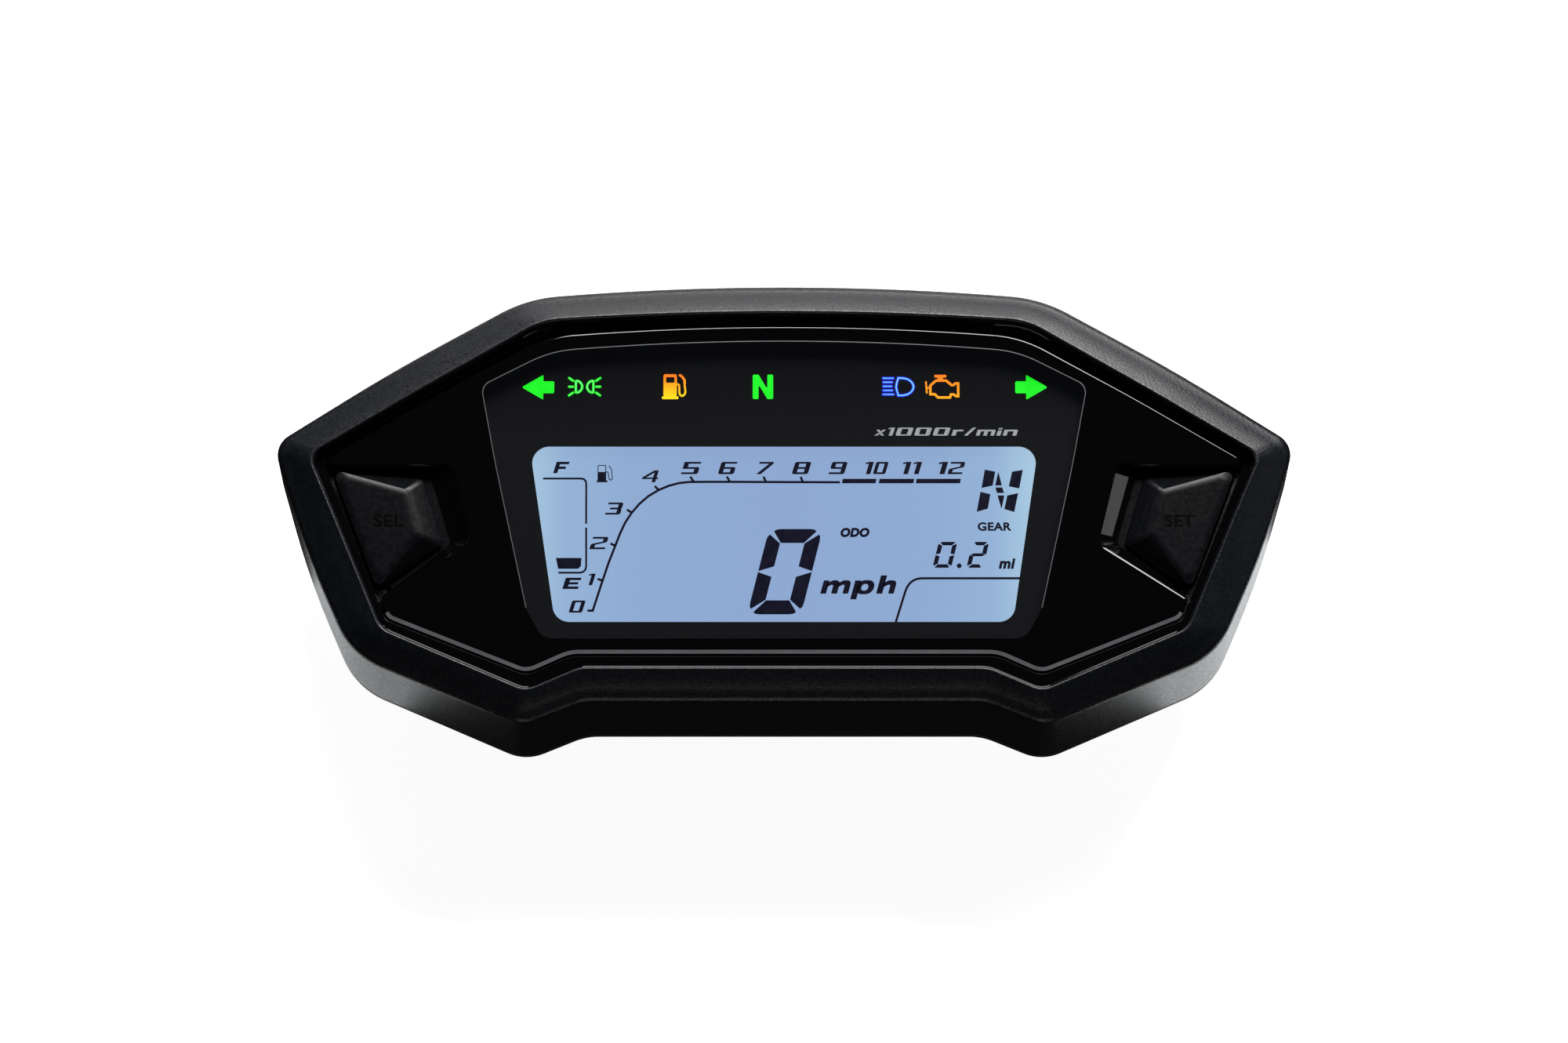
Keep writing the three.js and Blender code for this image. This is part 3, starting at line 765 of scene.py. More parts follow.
def button(name, side, word):
    """A rubber key: a hollow foot with a tab, sloped facets and a flat face with recessed letters."""
    mesh = bmesh.new()
    base = button_outline(BUTTON_BASE, side, 1.3)
    face = button_outline(BUTTON_FACE, side, 0.9)
    foot, skirt, top = low(name).z, BUTTON_SKIRT, high(name).z
    inner = button_outline(BUTTON_BASE, side, 0.9, 1.6)
    rings = [(inner, skirt - 0.7), (inner, BUTTON_HOLLOW), (base, BUTTON_HOLLOW), (base, skirt - 0.3)]
    for share, lift in ((0.015, -0.06), (0.05, 0.12), (0.12, 0.32), (0.4, 0.94), (0.7, 1.5), (0.8, 1.66)):
        rings.append((mix(base, face, share), skirt + lift))
    for inset, drop in ((-0.3, 0.24), (0.0, 0.14), (0.3, 0.065), (0.65, 0.018), (1.0, 0.0)):
        rings.append((button_outline(BUTTON_FACE, side, 1.3, inset), top - drop))
    first, last = stack(mesh, rings)
    cap(mesh, first, up=False)
    middle = side * WORD_MIDDLE
    box = (middle - WORD_HALF, WORD_TOP, middle + WORD_HALF, WORD_FOOT)
    engrave(mesh, last, word, box, top, WORD_DEPTH)
    prism(mesh, button_outline(BUTTON_TAB, side, 1.5), BUTTON_TAB_REAR, BUTTON_TAB_REAR + 1.3)
    stem = [(2.1, foot), (2.4, foot + 0.3), (2.4, skirt - 0.4)]
    solid(mesh, turned(side * STEM[0], STEM[1], stem, 32))
    key = finish_mesh(name + " key", mesh, RUBBER, 24)
    fill = lettering(word, box, top - 0.048, top - 0.015, LEGEND)
    fill.name = name + "_legend"
    declare(fill, name)
    return declare(key, name, stands_for=[name])


def engrave(mesh, ring, word, box, level, depth):
    """Fills a flat face and sinks the letters of a word into it."""
    letters = letter_mesh(word, box, level - depth, level - depth, 0.0, 0.03, 0.0)
    floor_verts = {vert: mesh.verts.new(vert.co) for vert in letters.verts}
    rims = {}
    for face in letters.faces:
        mesh.faces.new([floor_verts[vert] for vert in face.verts])
    borders = [edge for edge in letters.edges if edge.is_boundary]
    for edge in borders:
        for vert in edge.verts:
            if vert not in rims:
                rims[vert] = mesh.verts.new((vert.co.x, vert.co.y, level * MM))
        a, b = edge.verts
        mesh.faces.new((floor_verts[a], floor_verts[b], rims[b], rims[a]))
    edges = [mesh.edges.get([rims[vert] for vert in edge.verts]) for edge in borders]
    for i, vert in enumerate(ring):
        other = ring[(i + 1) % len(ring)]
        edges.append(mesh.edges.get((vert, other)))
    letters.free()
    bmesh.ops.triangle_fill(mesh, use_beauty=True, use_dissolve=False, edges=edges)


# ---------------------------------------------------------------- lettering

def letter_mesh(word, box, bottom, top, slant, weight, thickness=0.5):
    """A word as a mesh that fills a box of left, top, right and bottom, flat or as a solid."""
    curve = bpy.data.curves.new("letters", "FONT")
    curve.body = word
    curve.shear = slant
    curve.offset = weight
    curve.resolution_u = 5
    curve.extrude = thickness
    curve.space_character = 1.06
    writer = bpy.data.objects.new("letters", curve)
    bpy.context.scene.collection.objects.link(writer)
    graph = bpy.context.evaluated_depsgraph_get()
    graph.update()
    data = bpy.data.meshes.new_from_object(writer.evaluated_get(graph))
    bpy.data.objects.remove(writer)
    bpy.data.curves.remove(curve)
    xs, ys = [[vert.co[axis] for vert in data.vertices] for axis in (0, 1)]
    left, upper, right, lower = box
    first_x, first_y = min(xs), min(ys)
    across = (right - left) / (max(xs) - first_x)
    up = (upper - lower) / (max(ys) - first_y)
    for vert in data.vertices:
        x = left + (vert.co.x - first_x) * across
        y = lower + (vert.co.y - first_y) * up
        vert.co = Vector((x, y, top if vert.co.z > 0 else bottom)) * MM
    mesh = bmesh.new()
    mesh.from_mesh(data)
    bpy.data.meshes.remove(data)
    bmesh.ops.remove_doubles(mesh, verts=mesh.verts, dist=1e-7)
    return mesh


def lettering(word, box, bottom, top, material, slant=0.0, weight=0.03):
    """Letters as a thin solid."""
    mesh = letter_mesh(word, box, bottom, top, slant, weight)
    return finish_mesh("letters", mesh, material, weighted=False)


# ---------------------------------------------------------------- lens

def lens_surround():
    """The gloss moulding between the rim and the window, with a sloped pocket for each button."""
    mesh = bmesh.new()
    edge = [(0, 0, 0.5), (0.03, 0.04, 0.44), (0.28, 0.6, 0.12), (0.36, 0.68, 0.075), (0.56, 0.88, 0.012),
            (0.64, 0.96, 0)]
    rings = [(surround_outline(POCKET_REAR), LENS_REAR)]
    rear, front = surround_outline(POCKET_REAR), surround_outline(POCKET_FRONT)
    for share, lift in ((0.31, 0.34), (0.34, 0.38), (0.98, 1.87)):
        rings.append((mix(rear, front, share), LENS_REAR + lift))
    for narrow, wide, drop in edge:
        rings.append((lens_front_line(narrow, wide), LENS_FRONT - drop))
    lower, upper = stack(mesh, rings)
    hole = outline(WINDOW_CORNERS)
    hole_low, hole_high = stack(mesh, [(hole, LENS_REAR), (hole, LENS_FRONT)])
    fill_between(mesh, lower, hole_low)
    fill_between(mesh, upper, hole_high)
    piece = finish_mesh("gloss surround", mesh, SURROUND, 15)
    return declare(piece, stands_for=["lens_surround"])


def lens_front_line(narrow, wide):
    """The front outline with a small inset all round and a larger one along the lower side."""
    pairs = zip(surround_outline(POCKET_FRONT, narrow), surround_outline(POCKET_FRONT, wide))
    return [far if near[1] < LENS_LOWER_SIDE else near for near, far in pairs]


def edge_strip(name, lines, wanted, material):
    """A thin strip along the wanted part of several matching outlines with their levels."""
    first = lines[0][0]
    count = len(first)
    chosen = [wanted(point) for point in first]
    start = next(i for i in range(count) if chosen[i] and not chosen[i - 1])
    mesh = bmesh.new()
    rings = []
    for step in range(sum(chosen)):
        i = (start + step) % count
        corners = [(*points[i], level) for points, level in lines]
        rings.append([mesh.verts.new(Vector(corner) * MM) for corner in corners])
    for before, after in zip(rings, rings[1:]):
        bridge(mesh, before, after)
    cap(mesh, rings[0])
    cap(mesh, rings[-1], up=False)
    return declare(finish_mesh(name, mesh, material))


def lens_edge_highlight():
    """The chamfer along the lower side of the lens, from pocket to pocket, carrying a painted highlight."""
    section = [(0.03, 0.43), (0.63, 0.09), (0.64, 0.2), (0.08, 0.55)]
    lines = [(surround_outline(POCKET_FRONT, inset), LENS_FRONT - drop) for inset, drop in section]
    return edge_strip("lens edge highlight", lines, lambda point: point[1] < LENS_LOWER_SIDE, LENS_EDGE_HIGHLIGHT)


def window_bead_highlight():
    """The hairline where the window meets the surround, along the top and down the sides: a painted highlight
    in a faintly glowing grey.
    """
    section = [(-0.06, 0.0), (-0.02, -0.012), (0.07, -0.012), (0.1, 0.03), (0.0, 0.06)]
    lines = [(outline(WINDOW_CORNERS, inset), LENS_FRONT - drop) for inset, drop in section]
    # Painted highlight: this strip's grey, faintly glowing material stands in for the light that the window's
    # edge catches.
    lowest = -18.4
    return edge_strip("window bead highlight", lines, lambda point: point[1] > lowest, WINDOW_BEAD_HIGHLIGHT)


def lens_window():
    section = [(0.03, LENS_REAR), (0.03, LENS_FRONT - 0.04), (0.07, LENS_FRONT)]
    pane = ring_piece("window pane", inset_rings(WINDOW_CORNERS, section), WINDOW, 40)
    return declare(pane, stands_for=["lens_window"])


def dial_plate():
    mesh = bmesh.new()
    outer = outline(WINDOW_CORNERS, -0.8)
    opening = lcd_outline(0, LCD_CORNER)
    outer_low, outer_high = stack(mesh, [(outer, PLATE_REAR), (outer, PLATE_FRONT)])
    wider = lcd_outline(0.12, LCD_CORNER + 0.12)
    rings = [(opening, PLATE_REAR), (opening, PLATE_FRONT - 0.12), (wider, PLATE_FRONT)]
    inner_low, inner_high = stack(mesh, rings)
    fill_between(mesh, outer_low, inner_low)
    fill_between(mesh, outer_high, inner_high)
    return declare(finish_mesh("printed plate", mesh, DIAL, 40), stands_for=["dial_plate"])


# ---------------------------------------------------------------- flat graphics

def stroke(path, width, rounded_ends=False, closed=False):
    """The outline of a line along a path, or both of its sides if the path is closed."""
    half = width / 2
    points = [Vector(p) for p in path]
    left, right = [], []
    count = len(points)
    for i, here in enumerate(points):
        before = points[i - 1] if (i or closed) else None
        after = points[(i + 1) % count] if (i < count - 1 or closed) else None
        into = (here - before).normalized() if before is not None else None
        out = (after - here).normalized() if after is not None else None
        into, out = into or out, out or into
        side = Vector((-into.y - out.y, into.x + out.x))
        side *= half / max(0.35, 1 + into.dot(out))
        left.append(here + side)
        right.append(here - side)
    if closed:
        return [tuple(p) for p in left], [tuple(p) for p in right]
    start, end = [], []
    if rounded_ends:
        start = half_turn(points[0], points[0] - points[1], half)
        end = half_turn(points[-1], points[-1] - points[-2], half)
    return [tuple(p) for p in left[::-1] + start + right + end]


def half_turn(centre, direction, radius, steps=8):
    """The round end of a line, counter-clockwise, without its two end points."""
    angle = math.atan2(direction.y, direction.x) - math.pi / 2
    points = []
    for i in range(1, steps):
        turn = angle + math.pi * i / steps
        points.append(centre + Vector((math.cos(turn), math.sin(turn))) * radius)
    return points


def slanted(points, lean, base):
    return [(x + (y - base) * lean, y) for x, y in points]


def counter_clockwise(points):
    area = sum(a[0] * b[1] - b[0] * a[1] for a, b in zip(points, points[1:] + points[:1]))
    return points if area > 0 else points[::-1]


def graphic(name, shapes, bottom, top, material, bands=()):
    """One thin solid made of separate filled shapes and of bands between two outlines."""
    mesh = bmesh.new()
    for shape in shapes:
        prism(mesh, counter_clockwise(shape), bottom, top)
    for outer, inner in bands:
        tube(mesh, outer, inner, bottom, top)
    piece = finish_mesh(name, mesh, material, weighted=False)
    return declare(piece)


def bar(x0, y0, x1, y1, corner=0.0):
    """A rectangle by its left, top, right and bottom."""
    if corner:
        return rectangle((x0 + x1) / 2, (y0 + y1) / 2, x1 - x0, y0 - y1, corner, 4)
    return [(x0, y1), (x1, y1), (x1, y0), (x0, y0)]


# Squared characters on a unit square, as simple shapes. Upright strokes are wide, level strokes
# are thin and outer corners are cut off.
THICK, THIN, CHAMFER = 0.29, 0.15, 0.09
MID_LOW, MID_HIGH = 0.5 - THIN / 2, 0.5 + THIN / 2
LEFT_POST = [(0, CHAMFER), (CHAMFER, 0), (THICK, 0), (THICK, 1), (CHAMFER, 1), (0, 1 - CHAMFER)]
RIGHT_POST = [(1 - x, y) for x, y in LEFT_POST[::-1]]
TOP_BAR = [(THICK, 1 - THIN), (1 - THICK, 1 - THIN), (1 - THICK, 1), (THICK, 1)]
MIDDLE_BAR = [(THICK, MID_LOW), (1 - THICK, MID_LOW), (1 - THICK, MID_HIGH), (THICK, MID_HIGH)]
BOTTOM_BAR = [(THICK, 0), (1 - THICK, 0), (1 - THICK, THIN), (THICK, THIN)]
RIGHT_LOWER = [(1 - THICK, 0), (1 - CHAMFER, 0), (1, CHAMFER), (1, MID_HIGH - CHAMFER),
               (1 - CHAMFER, MID_HIGH), (1 - THICK, MID_HIGH)]
SIX = [LEFT_POST, [(THICK, 1 - THIN), (1, 1 - THIN), (1, 1), (THICK, 1)], MIDDLE_BAR, BOTTOM_BAR, RIGHT_LOWER]
GLYPHS = {
    "0": [LEFT_POST, RIGHT_POST, TOP_BAR, BOTTOM_BAR],
    "1": [[(0.26, 0), (0.62, 0), (0.62, 1), (0.24, 1), (0, 0.93), (0, 0.8), (0.26, 0.86)]],
    "2": [[(0, 1), (1 - CHAMFER, 1), (1, 1 - CHAMFER), (1, 0.63), (0.93, 0.55), (THICK, 0.36), (THICK, THIN),
           (1, THIN), (1, 0), (0, 0), (0, 0.36), (0.07, 0.44), (1 - THICK, 0.62), (1 - THICK, 1 - THIN),
           (0, 1 - THIN)]],
    "3": [[(0, 1), (1 - CHAMFER, 1), (1, 1 - CHAMFER), (1, 0.57), (0.94, 0.5), (1, 0.43), (1, CHAMFER),
           (1 - CHAMFER, 0), (0, 0), (0, THIN), (1 - THICK, THIN), (1 - THICK, MID_LOW), (0.22, MID_LOW),
           (0.22, MID_HIGH), (1 - THICK, MID_HIGH), (1 - THICK, 1 - THIN), (0, 1 - THIN)]],
    "4": [[(0, 0.27), (0.7, 0.27), (0.7, 0.4), (0.24, 0.4), (0.7, 0.82), (0.7, 1), (0.64, 1), (0, 0.42)],
          [(0.7, 0), (0.94, 0), (0.94, 1), (0.7, 1)], [(0.94, 0.27), (1.06, 0.27), (1.06, 0.4), (0.94, 0.4)]],
    "5": [[(0, 1), (1, 1), (1, 1 - THIN), (THICK, 1 - THIN), (THICK, MID_HIGH), (1 - CHAMFER, MID_HIGH),
           (1, MID_HIGH - CHAMFER), (1, CHAMFER), (1 - CHAMFER, 0), (0, 0), (0, THIN), (1 - THICK, THIN),
           (1 - THICK, MID_LOW), (0, MID_LOW)]],
    "6": SIX,
    "7": [[(0, 1), (1, 1), (1, 1 - THIN), (0.34, 0), (0.02, 0), (0.7, 1 - THIN), (0, 1 - THIN)]],
    "8": [LEFT_POST, RIGHT_POST, TOP_BAR, MIDDLE_BAR, BOTTOM_BAR],
    "9": [[(1 - x, 1 - y) for x, y in shape] for shape in SIX],
    "F": [[(0, 0), (0.32, 0), (0.32, 0.36), (0.86, 0.36), (0.86, 0.58), (0.32, 0.58), (0.32, 0.78), (1, 0.78),
           (1, 1), (0, 1)]],
    "E": [[(0, 0), (1, 0), (1, 0.22), (0.32, 0.22), (0.32, 0.4), (0.9, 0.4), (0.9, 0.6), (0.32, 0.6),
           (0.32, 0.78), (1, 0.78), (1, 1), (0, 1)]],
    "x": [[(0, 0), (0.3, 0), (1, 0.74), (0.7, 0.74)], [(0.7, 0), (1, 0), (0.3, 0.74), (0, 0.74)]],
    "r": [[(0, 0), (0.3, 0), (0.3, 0.54), (0.75, 0.54), (0.75, 0.74), (0, 0.74)]],
    "/": [[(0, 0), (0.26, 0), (0.7, 1), (0.44, 1)]],
    "m": [[(0, 0), (0.27, 0), (0.27, 0.54), (0.53, 0.54), (0.53, 0), (0.8, 0), (0.8, 0.54), (1.06, 0.54),
           (1.06, 0), (1.33, 0), (1.33, 0.66), (1.25, 0.74), (0, 0.74)]],
    "i": [[(0, 0), (0.29, 0), (0.29, 0.64), (0, 0.64)], [(0, 0.78), (0.29, 0.78), (0.29, 0.95), (0, 0.95)]],
    "n": [[(0, 0), (0.29, 0), (0.29, 0.54), (0.71, 0.54), (0.71, 0), (1, 0), (1, 0.65), (0.91, 0.74),
           (0, 0.74)]],
}
GLYPH_GAP = 0.2
GLYPH_WIDTHS = {"1": 0.62, "r": 0.75, "/": 0.7, "m": 1.33, "i": 0.29}


def squared(word, box, lean=0.3, space=GLYPH_GAP):
    """The shapes of a squared italic word that fills a box of left, top, right and bottom."""
    left, upper, right, lower = box
    height = upper - lower
    widths = [GLYPH_WIDTHS.get(sign, 1.0) for sign in word]
    unit = (right - left - lean * height) / (sum(widths) + space * (len(word) - 1))
    shapes = []
    start = left
    for sign, wide in zip(word, widths):
        for shape in GLYPHS[sign]:
            shapes.append([(start + x * unit, lower + y * height) for x, y in shape])
        start += (wide + space) * unit
    return [slanted(shape, lean, lower) for shape in shapes]


def seven_segment(signs, box, upright, level, gap, lean):
    """The lit blocks of one seven-segment digit, with chamfered joints and rounded outer corners."""
    left, upper, right, lower = box
    tall = upper - lower
    wide = right - left - lean * tall
    soft = upright * 0.8
    half = tall / 2
    top = [(soft * 0.39 + gap, -soft * 0.2), (soft * 0.62 + gap / 2, -soft * 0.05), (soft + gap / 2, 0)]
    top += [(wide - x, y) for x, y in top[::-1]]
    top += [(wide - upright - gap * 0.6, -level), (upright + gap * 0.6, -level)]
    side = [(soft * 0.2, -soft * 0.39 - gap), (soft * 0.05, -soft * 0.62 - gap / 2), (0, -soft - gap / 2)]
    side += [(0, gap / 2 - half), (upright, gap / 2 + level * 0.34 - half), (upright, -level - gap * 0.6)]
    middle = [(gap, -half), (upright, level * 0.42 - half), (wide - upright, level * 0.42 - half),
              (wide - gap, -half), (wide - upright, -level * 0.42 - half), (upright, -level * 0.42 - half)]
    blocks = {
        "a": top, "d": [(x, -tall - y) for x, y in top], "g": middle, "f": side,
        "e": [(x, -tall - y) for x, y in side], "b": [(wide - x, y) for x, y in side],
        "c": [(wide - x, -tall - y) for x, y in side],
    }
    placed = [[(left + x, upper + y) for x, y in blocks[sign]] for sign in signs]
    return [slanted(block, lean, lower) for block in placed]


LCD_BASE = GLASS_FRONT + 0.01
LCD_FACE = GLASS_FRONT + 0.07
UNIT_TOP, UNIT_FOOT = -12.63, -14.92
LAMP_BASE = PLATE_FRONT + 0.005
LAMP_FACE = PLATE_FRONT + 0.05


def lcd_graphic(name, shapes, bands=()):
    return graphic(name, shapes, LCD_BASE, LCD_FACE, SEGMENT, bands)


def fuel_gauge():
    """The outlined tube between F and E, with its level bar and a small pump."""
    line = 0.33
    upper = [(-41.1, 5.15), (-34.6, 5.15), (-34.15, 5.05), (-33.85, 4.75), (-33.72, 4.3), (-33.67, -2.75)]
    lower = [(-33.66, -3.45), (-33.59, -10.2), (-33.72, -10.75), (-34.05, -11.12), (-34.6, -11.28),
             (-38.3, -11.28)]
    level_bar = [(-38.75, -8.72), (-34.4, -8.72), (-34.5, -10.15), (-34.95, -10.6), (-38.35, -10.6)]
    shapes = [stroke(upper, line), stroke(lower, line), level_bar]
    shapes += squared("F", (-39.4, 8.1, -36.6, 6.1)) + squared("E", (-37.6, -12.15, -34.35, -14.1))
    shapes += [bar(-31.96, 4.81, -30.11, 4.5), bar(-31.8, 6.3, -30.34, 4.81), bar(-31.8, 7.4, -31.66, 6.3)]
    shapes += [bar(-30.48, 7.4, -30.34, 6.3), bar(-31.75, 7.53, -30.4, 7.4)]
    hose = [(-30.34, 6.35), (-30.0, 6.23), (-29.83, 5.05), (-29.53, 4.86), (-29.26, 5.16), (-29.42, 6.7),
            (-29.88, 7.41)]
    shapes.append(stroke(hose, 0.15))
    return lcd_graphic("lcd fuel gauge", shapes)


TACH_CURVE = [
    (-33.3, -17.86), (-32.4, -17.86), (-30.8, -12.71), (-29.8, -9.6), (-28.69, -6.64), (-27.9, -4.5),
    (-27.05, -2.6), (-25.94, -0.85), (-24.6, 0.75), (-23.1, 2.08), (-21.38, 3.13), (-19.6, 3.9),
    (-17.9, 4.36), (-16.18, 4.55), (-12, 4.58), (9.56, 4.5),
]
TACH_TICKS = [
    ((-30.8, -12.65), (-31.65, -12.35)), ((-28.69, -6.6), (-29.5, -6.2)), ((-25.94, -0.8), (-26.75, -0.3)),
    ((-21.38, 3.15), (-22.05, 3.85)), ((-15.4, 4.6), (-16.0, 5.5)), ((-9.25, 4.6), (-9.75, 5.5)),
    ((-3.1, 4.6), (-3.5, 5.5)), ((3.2, 4.55), (2.85, 5.45)),
]
TACH_NUMBERS = {
    "0": (-36.5, -16.1, -33.6, -18.2), "1": (-33.6, -11.45, -31.95, -13.45), "2": (-33.1, -5.05, -29.8, -7.2),
    "3": (-30.5, 0.95, -27.3, -1.15), "4": (-24.4, 6.58, -21.2, 4.5), "5": (-17.6, 8.08, -14.1, 5.93),
    "6": (-11.3, 8.08, -7.95, 5.93), "7": (-4.8, 8.08, -1.7, 5.93), "8": (1.3, 8.08, 4.7, 5.93),
    "9": (7.6, 8.08, 10.9, 5.93), "10": (13.4, 8.08, 17.9, 5.93), "11": (19.75, 8.08, 23.6, 5.93),
    "12": (25.85, 8.08, 31.0, 5.93),
}
LIMIT_BARS = [(9.9, 15.65), (16.18, 22.1), (22.5, 30.05)]


def tachometer():
    """The swept rev line, its ticks and its numbers, and the three bars of the rev limit."""
    shapes = [stroke(TACH_CURVE, 0.4)]
    shapes += [stroke(tick, 0.4) for tick in TACH_TICKS]
    for word, box in TACH_NUMBERS.items():
        shapes += squared(word, box)
    lcd_graphic("lcd rev scale", shapes)
    bars = [slanted(bar(left, 5.1, right, 4.32), 0.2, 4.5) for left, right in LIMIT_BARS]
    lcd_graphic("lcd rev limit", bars)


def gear_sign():
    """The N of the gear display: four slanted blocks and three pieces of its diagonal."""
    shapes = [
        [(34.27, 6.72), (36.05, 6.35), (35.58, 3.92), (33.67, 3.5)],
        [(33.48, 2.82), (35.16, 2.4), (34.72, -0.11), (32.81, -0.68)],
        [(38.92, 6.35), (40.75, 6.68), (40.11, 3.42), (38.33, 3.79)],
        [(38.05, 2.19), (39.91, 2.59), (39.21, -0.72), (37.53, -0.18)],
        [(36.56, 6.35), (37.15, 3.94), (36.0, 3.94)],
        [(36.04, 3.59), (37.2, 3.59), (37.51, 2.63), (36.29, 2.63)],
        [(36.38, 2.19), (37.56, 2.19), (37.05, -0.18)],
    ]
    return lcd_graphic("lcd gear sign", shapes)


def speed_readout():
    """The large zero with its unit."""
    lcd_graphic("lcd speed", seven_segment("abcdef", (-6.25, -3.68, 6.6, -18.5), 2.5, 2.42, 0.17, 0.25))
    shapes = [bar(6.14, UNIT_TOP, 7.12, UNIT_FOOT), arch(7.12, 7.97, 8.98), arch(8.98, 9.89, 10.87)]
    shapes += [bar(11.47, UNIT_TOP, 12.5, UNIT_FOOT - 0.98), bar(15.61, UNIT_TOP + 0.88, 16.65, UNIT_FOOT)]
    shapes.append(arch(16.65, 17.63, 18.6))
    lean = [slanted(shape, 0.27, UNIT_FOOT) for shape in shapes]
    bowl = rectangle(13.49, -13.8, 2.98, 2.44, 1.15), rectangle(13.4, -13.82, 1.13, 1.16, 0.5)
    lcd_graphic("lcd speed unit", lean, [[slanted(ring, 0.27, UNIT_FOOT) for ring in bowl]])


def arch(stem, left, right):
    """The shoulder and right leg of an m or h. It starts inside the leg on its left."""
    top = UNIT_TOP + 0.03
    return rounded([(stem - 0.3, top - 1.3, 0, 1), (stem - 0.3, top - 0.5, 0, 1), (stem + 0.55, top, 0.5, 5),
                    (right, top, 0.7, 6), (right, UNIT_FOOT, 0, 1), (left, UNIT_FOOT, 0, 1),
                    (left, top - 0.55, 0.26, 4)])


def trip_readout():
    """The odometer block over its separator, with the small words."""
    bend = bezier((20.55, -14.6), (21.28, -12.25), (23.5, -12.25), 7)
    shapes = [stroke([(18.9, -19.93)] + bend + [(40.1, -12.25)], 0.39)]
    shapes += seven_segment("abcdef", (25.2, -5.92, 29.5, -10.42), 0.74, 0.6, 0.12, 0.25)
    shapes += seven_segment("abged", (30.95, -5.92, 34.9, -10.42), 0.74, 0.6, 0.12, 0.25)
    shapes.append(circle(29.75, -10.08, 0.41, 20))
    lcd_graphic("lcd distance", shapes)
    words = {
        "mi": ((36.45, -8.78, 39.3, -10.6), 0.2, 0.045), "ODO": ((9.6, -3.46, 14.55, -5.1), 0.2, 0.06),
        "GEAR": ((32.95, -2.5, 38.7, -4.0), 0.0, 0.035),
    }
    for word, (box, slant, weight) in words.items():
        piece = lettering(word, box, LCD_BASE, LCD_FACE, SEGMENT, slant, weight)
        piece.name = "lcd_word_" + word
        declare(piece)


# ---------------------------------------------------------------- indicator symbols

def lamp_graphic(name, shapes, material, bands=()):
    return graphic(name, shapes, LAMP_BASE, LAMP_FACE, material, bands)


LINE_CORE, LOOP_CORE = 0.25, 0.38


def lit_lines(name, lines, edge, core, loops):
    """Lines and closed loops in a strong colour with a paler line along their middle."""
    shapes = [stroke(path, width, rounded_ends=True) for path, width in lines]
    lamp_graphic(name, shapes, edge, [closed_band(path, width) for path, width in loops])
    inner = [stroke(path, width * LINE_CORE, rounded_ends=True) for path, width in lines]
    bands = [closed_band(path, width * LOOP_CORE) for path, width in loops]
    graphic(name + " core", inner, LAMP_FACE - 0.01, LAMP_FACE + 0.015, core, bands)


def closed_band(path, width):
    """The outer and inner outlines of a closed line."""
    sides = stroke(counter_clockwise(path), width, closed=True)
    return sides[1], sides[0]


def turn_arrow(name, side):
    """A solid arrow with a tall head and a short tail with rounded corners."""
    shift = 0.12 * side
    tip, neck, end = 45.0 + shift, 41.28 + shift, 39.42 + shift
    tall, short = 2.2, 1.06
    y = 20.82
    corners = [(tip, y, 0.2, 5), (neck, y - tall, 0.12, 4), (neck, y - short, 0.1, 2),
               (end, y - short, 0.3, 5), (end, y + short, 0.3, 5), (neck, y + short, 0.1, 2),
               (neck, y + tall, 0.12, 4)]
    loop = [(side * cx, cy, r, n) for cx, cy, r, n in corners][::side]
    return lamp_graphic(name, [rounded(loop)], GREEN)


def position_lamp():
    """Two small lamps in outline, bulging towards each other, with three rays each."""
    middle, level = -34.1, 20.92
    lines, loops = [], []
    for side in (1, -1):
        half = [(1.5, 0.98), (1.25, 1.04), (0.9, 0.9), (0.6, 0.58), (0.43, 0.2)]
        curve = half + [(x, -y) for x, y in half[::-1]]
        loops.append(([(middle + side * x, level + y) for x, y in curve], 0.42))
        for rise, drop in ((1.54, 1.05), (0.0, 0.0), (-1.54, -1.05)):
            outer, root = (middle + side * 2.66, level + rise), (middle + side * 1.98, level + drop)
            lines.append(([outer, root], 0.42))
    lit_lines("position lamp", lines, GREEN, PALE_GREEN, loops)


def fuel_warning():
    """A petrol pump with its hose."""
    body = bar(-20.62, 23.12, -18.33, 19.25, corner=0.3)
    glass = bar(-20.17, 22.62, -18.74, 21.62, corner=0.08)
    base = bar(-20.88, 19.24, -18.03, 18.73, corner=0.2)
    hose = [(-18.36, 21.37), (-18.08, 21.33), (-17.93, 21.15), (-17.88, 19.8), (-17.75, 19.45), (-17.5, 19.3),
            (-17.22, 19.36), (-16.98, 19.62), (-16.85, 20.0), (-17.03, 21.5)]
    nozzle = [(-17.8, 22.95), (-17.42, 22.68), (-17.03, 22.1), (-17.0, 21.55)]
    shapes = [base, stroke(hose, 0.33, rounded_ends=True), stroke(nozzle, 0.42, rounded_ends=True)]
    material = warm_lamp("lamp fuel", 18.7, 22.6, 0.8, 0.2)
    lamp_graphic("fuel warning", shapes, material, [(body, glass)])


def neutral_lamp():
    left, right, upper, lower = -5.35, -1.85, 23.05, 18.75
    stem = 1.0
    corners = [(left, lower, 0.25, 4), (left, upper, 0.25, 4), (left + stem, upper, 0.2, 3),
               (right - stem, upper - 2.6, 0.1, 2), (right - stem, upper, 0.2, 3), (right, upper, 0.25, 4),
               (right, lower, 0.25, 4), (right - stem, lower, 0.2, 3), (left + stem, lower + 2.6, 0.1, 2),
               (left + stem, lower, 0.2, 3)]
    return lamp_graphic("neutral sign", [rounded(corners)], GREEN)


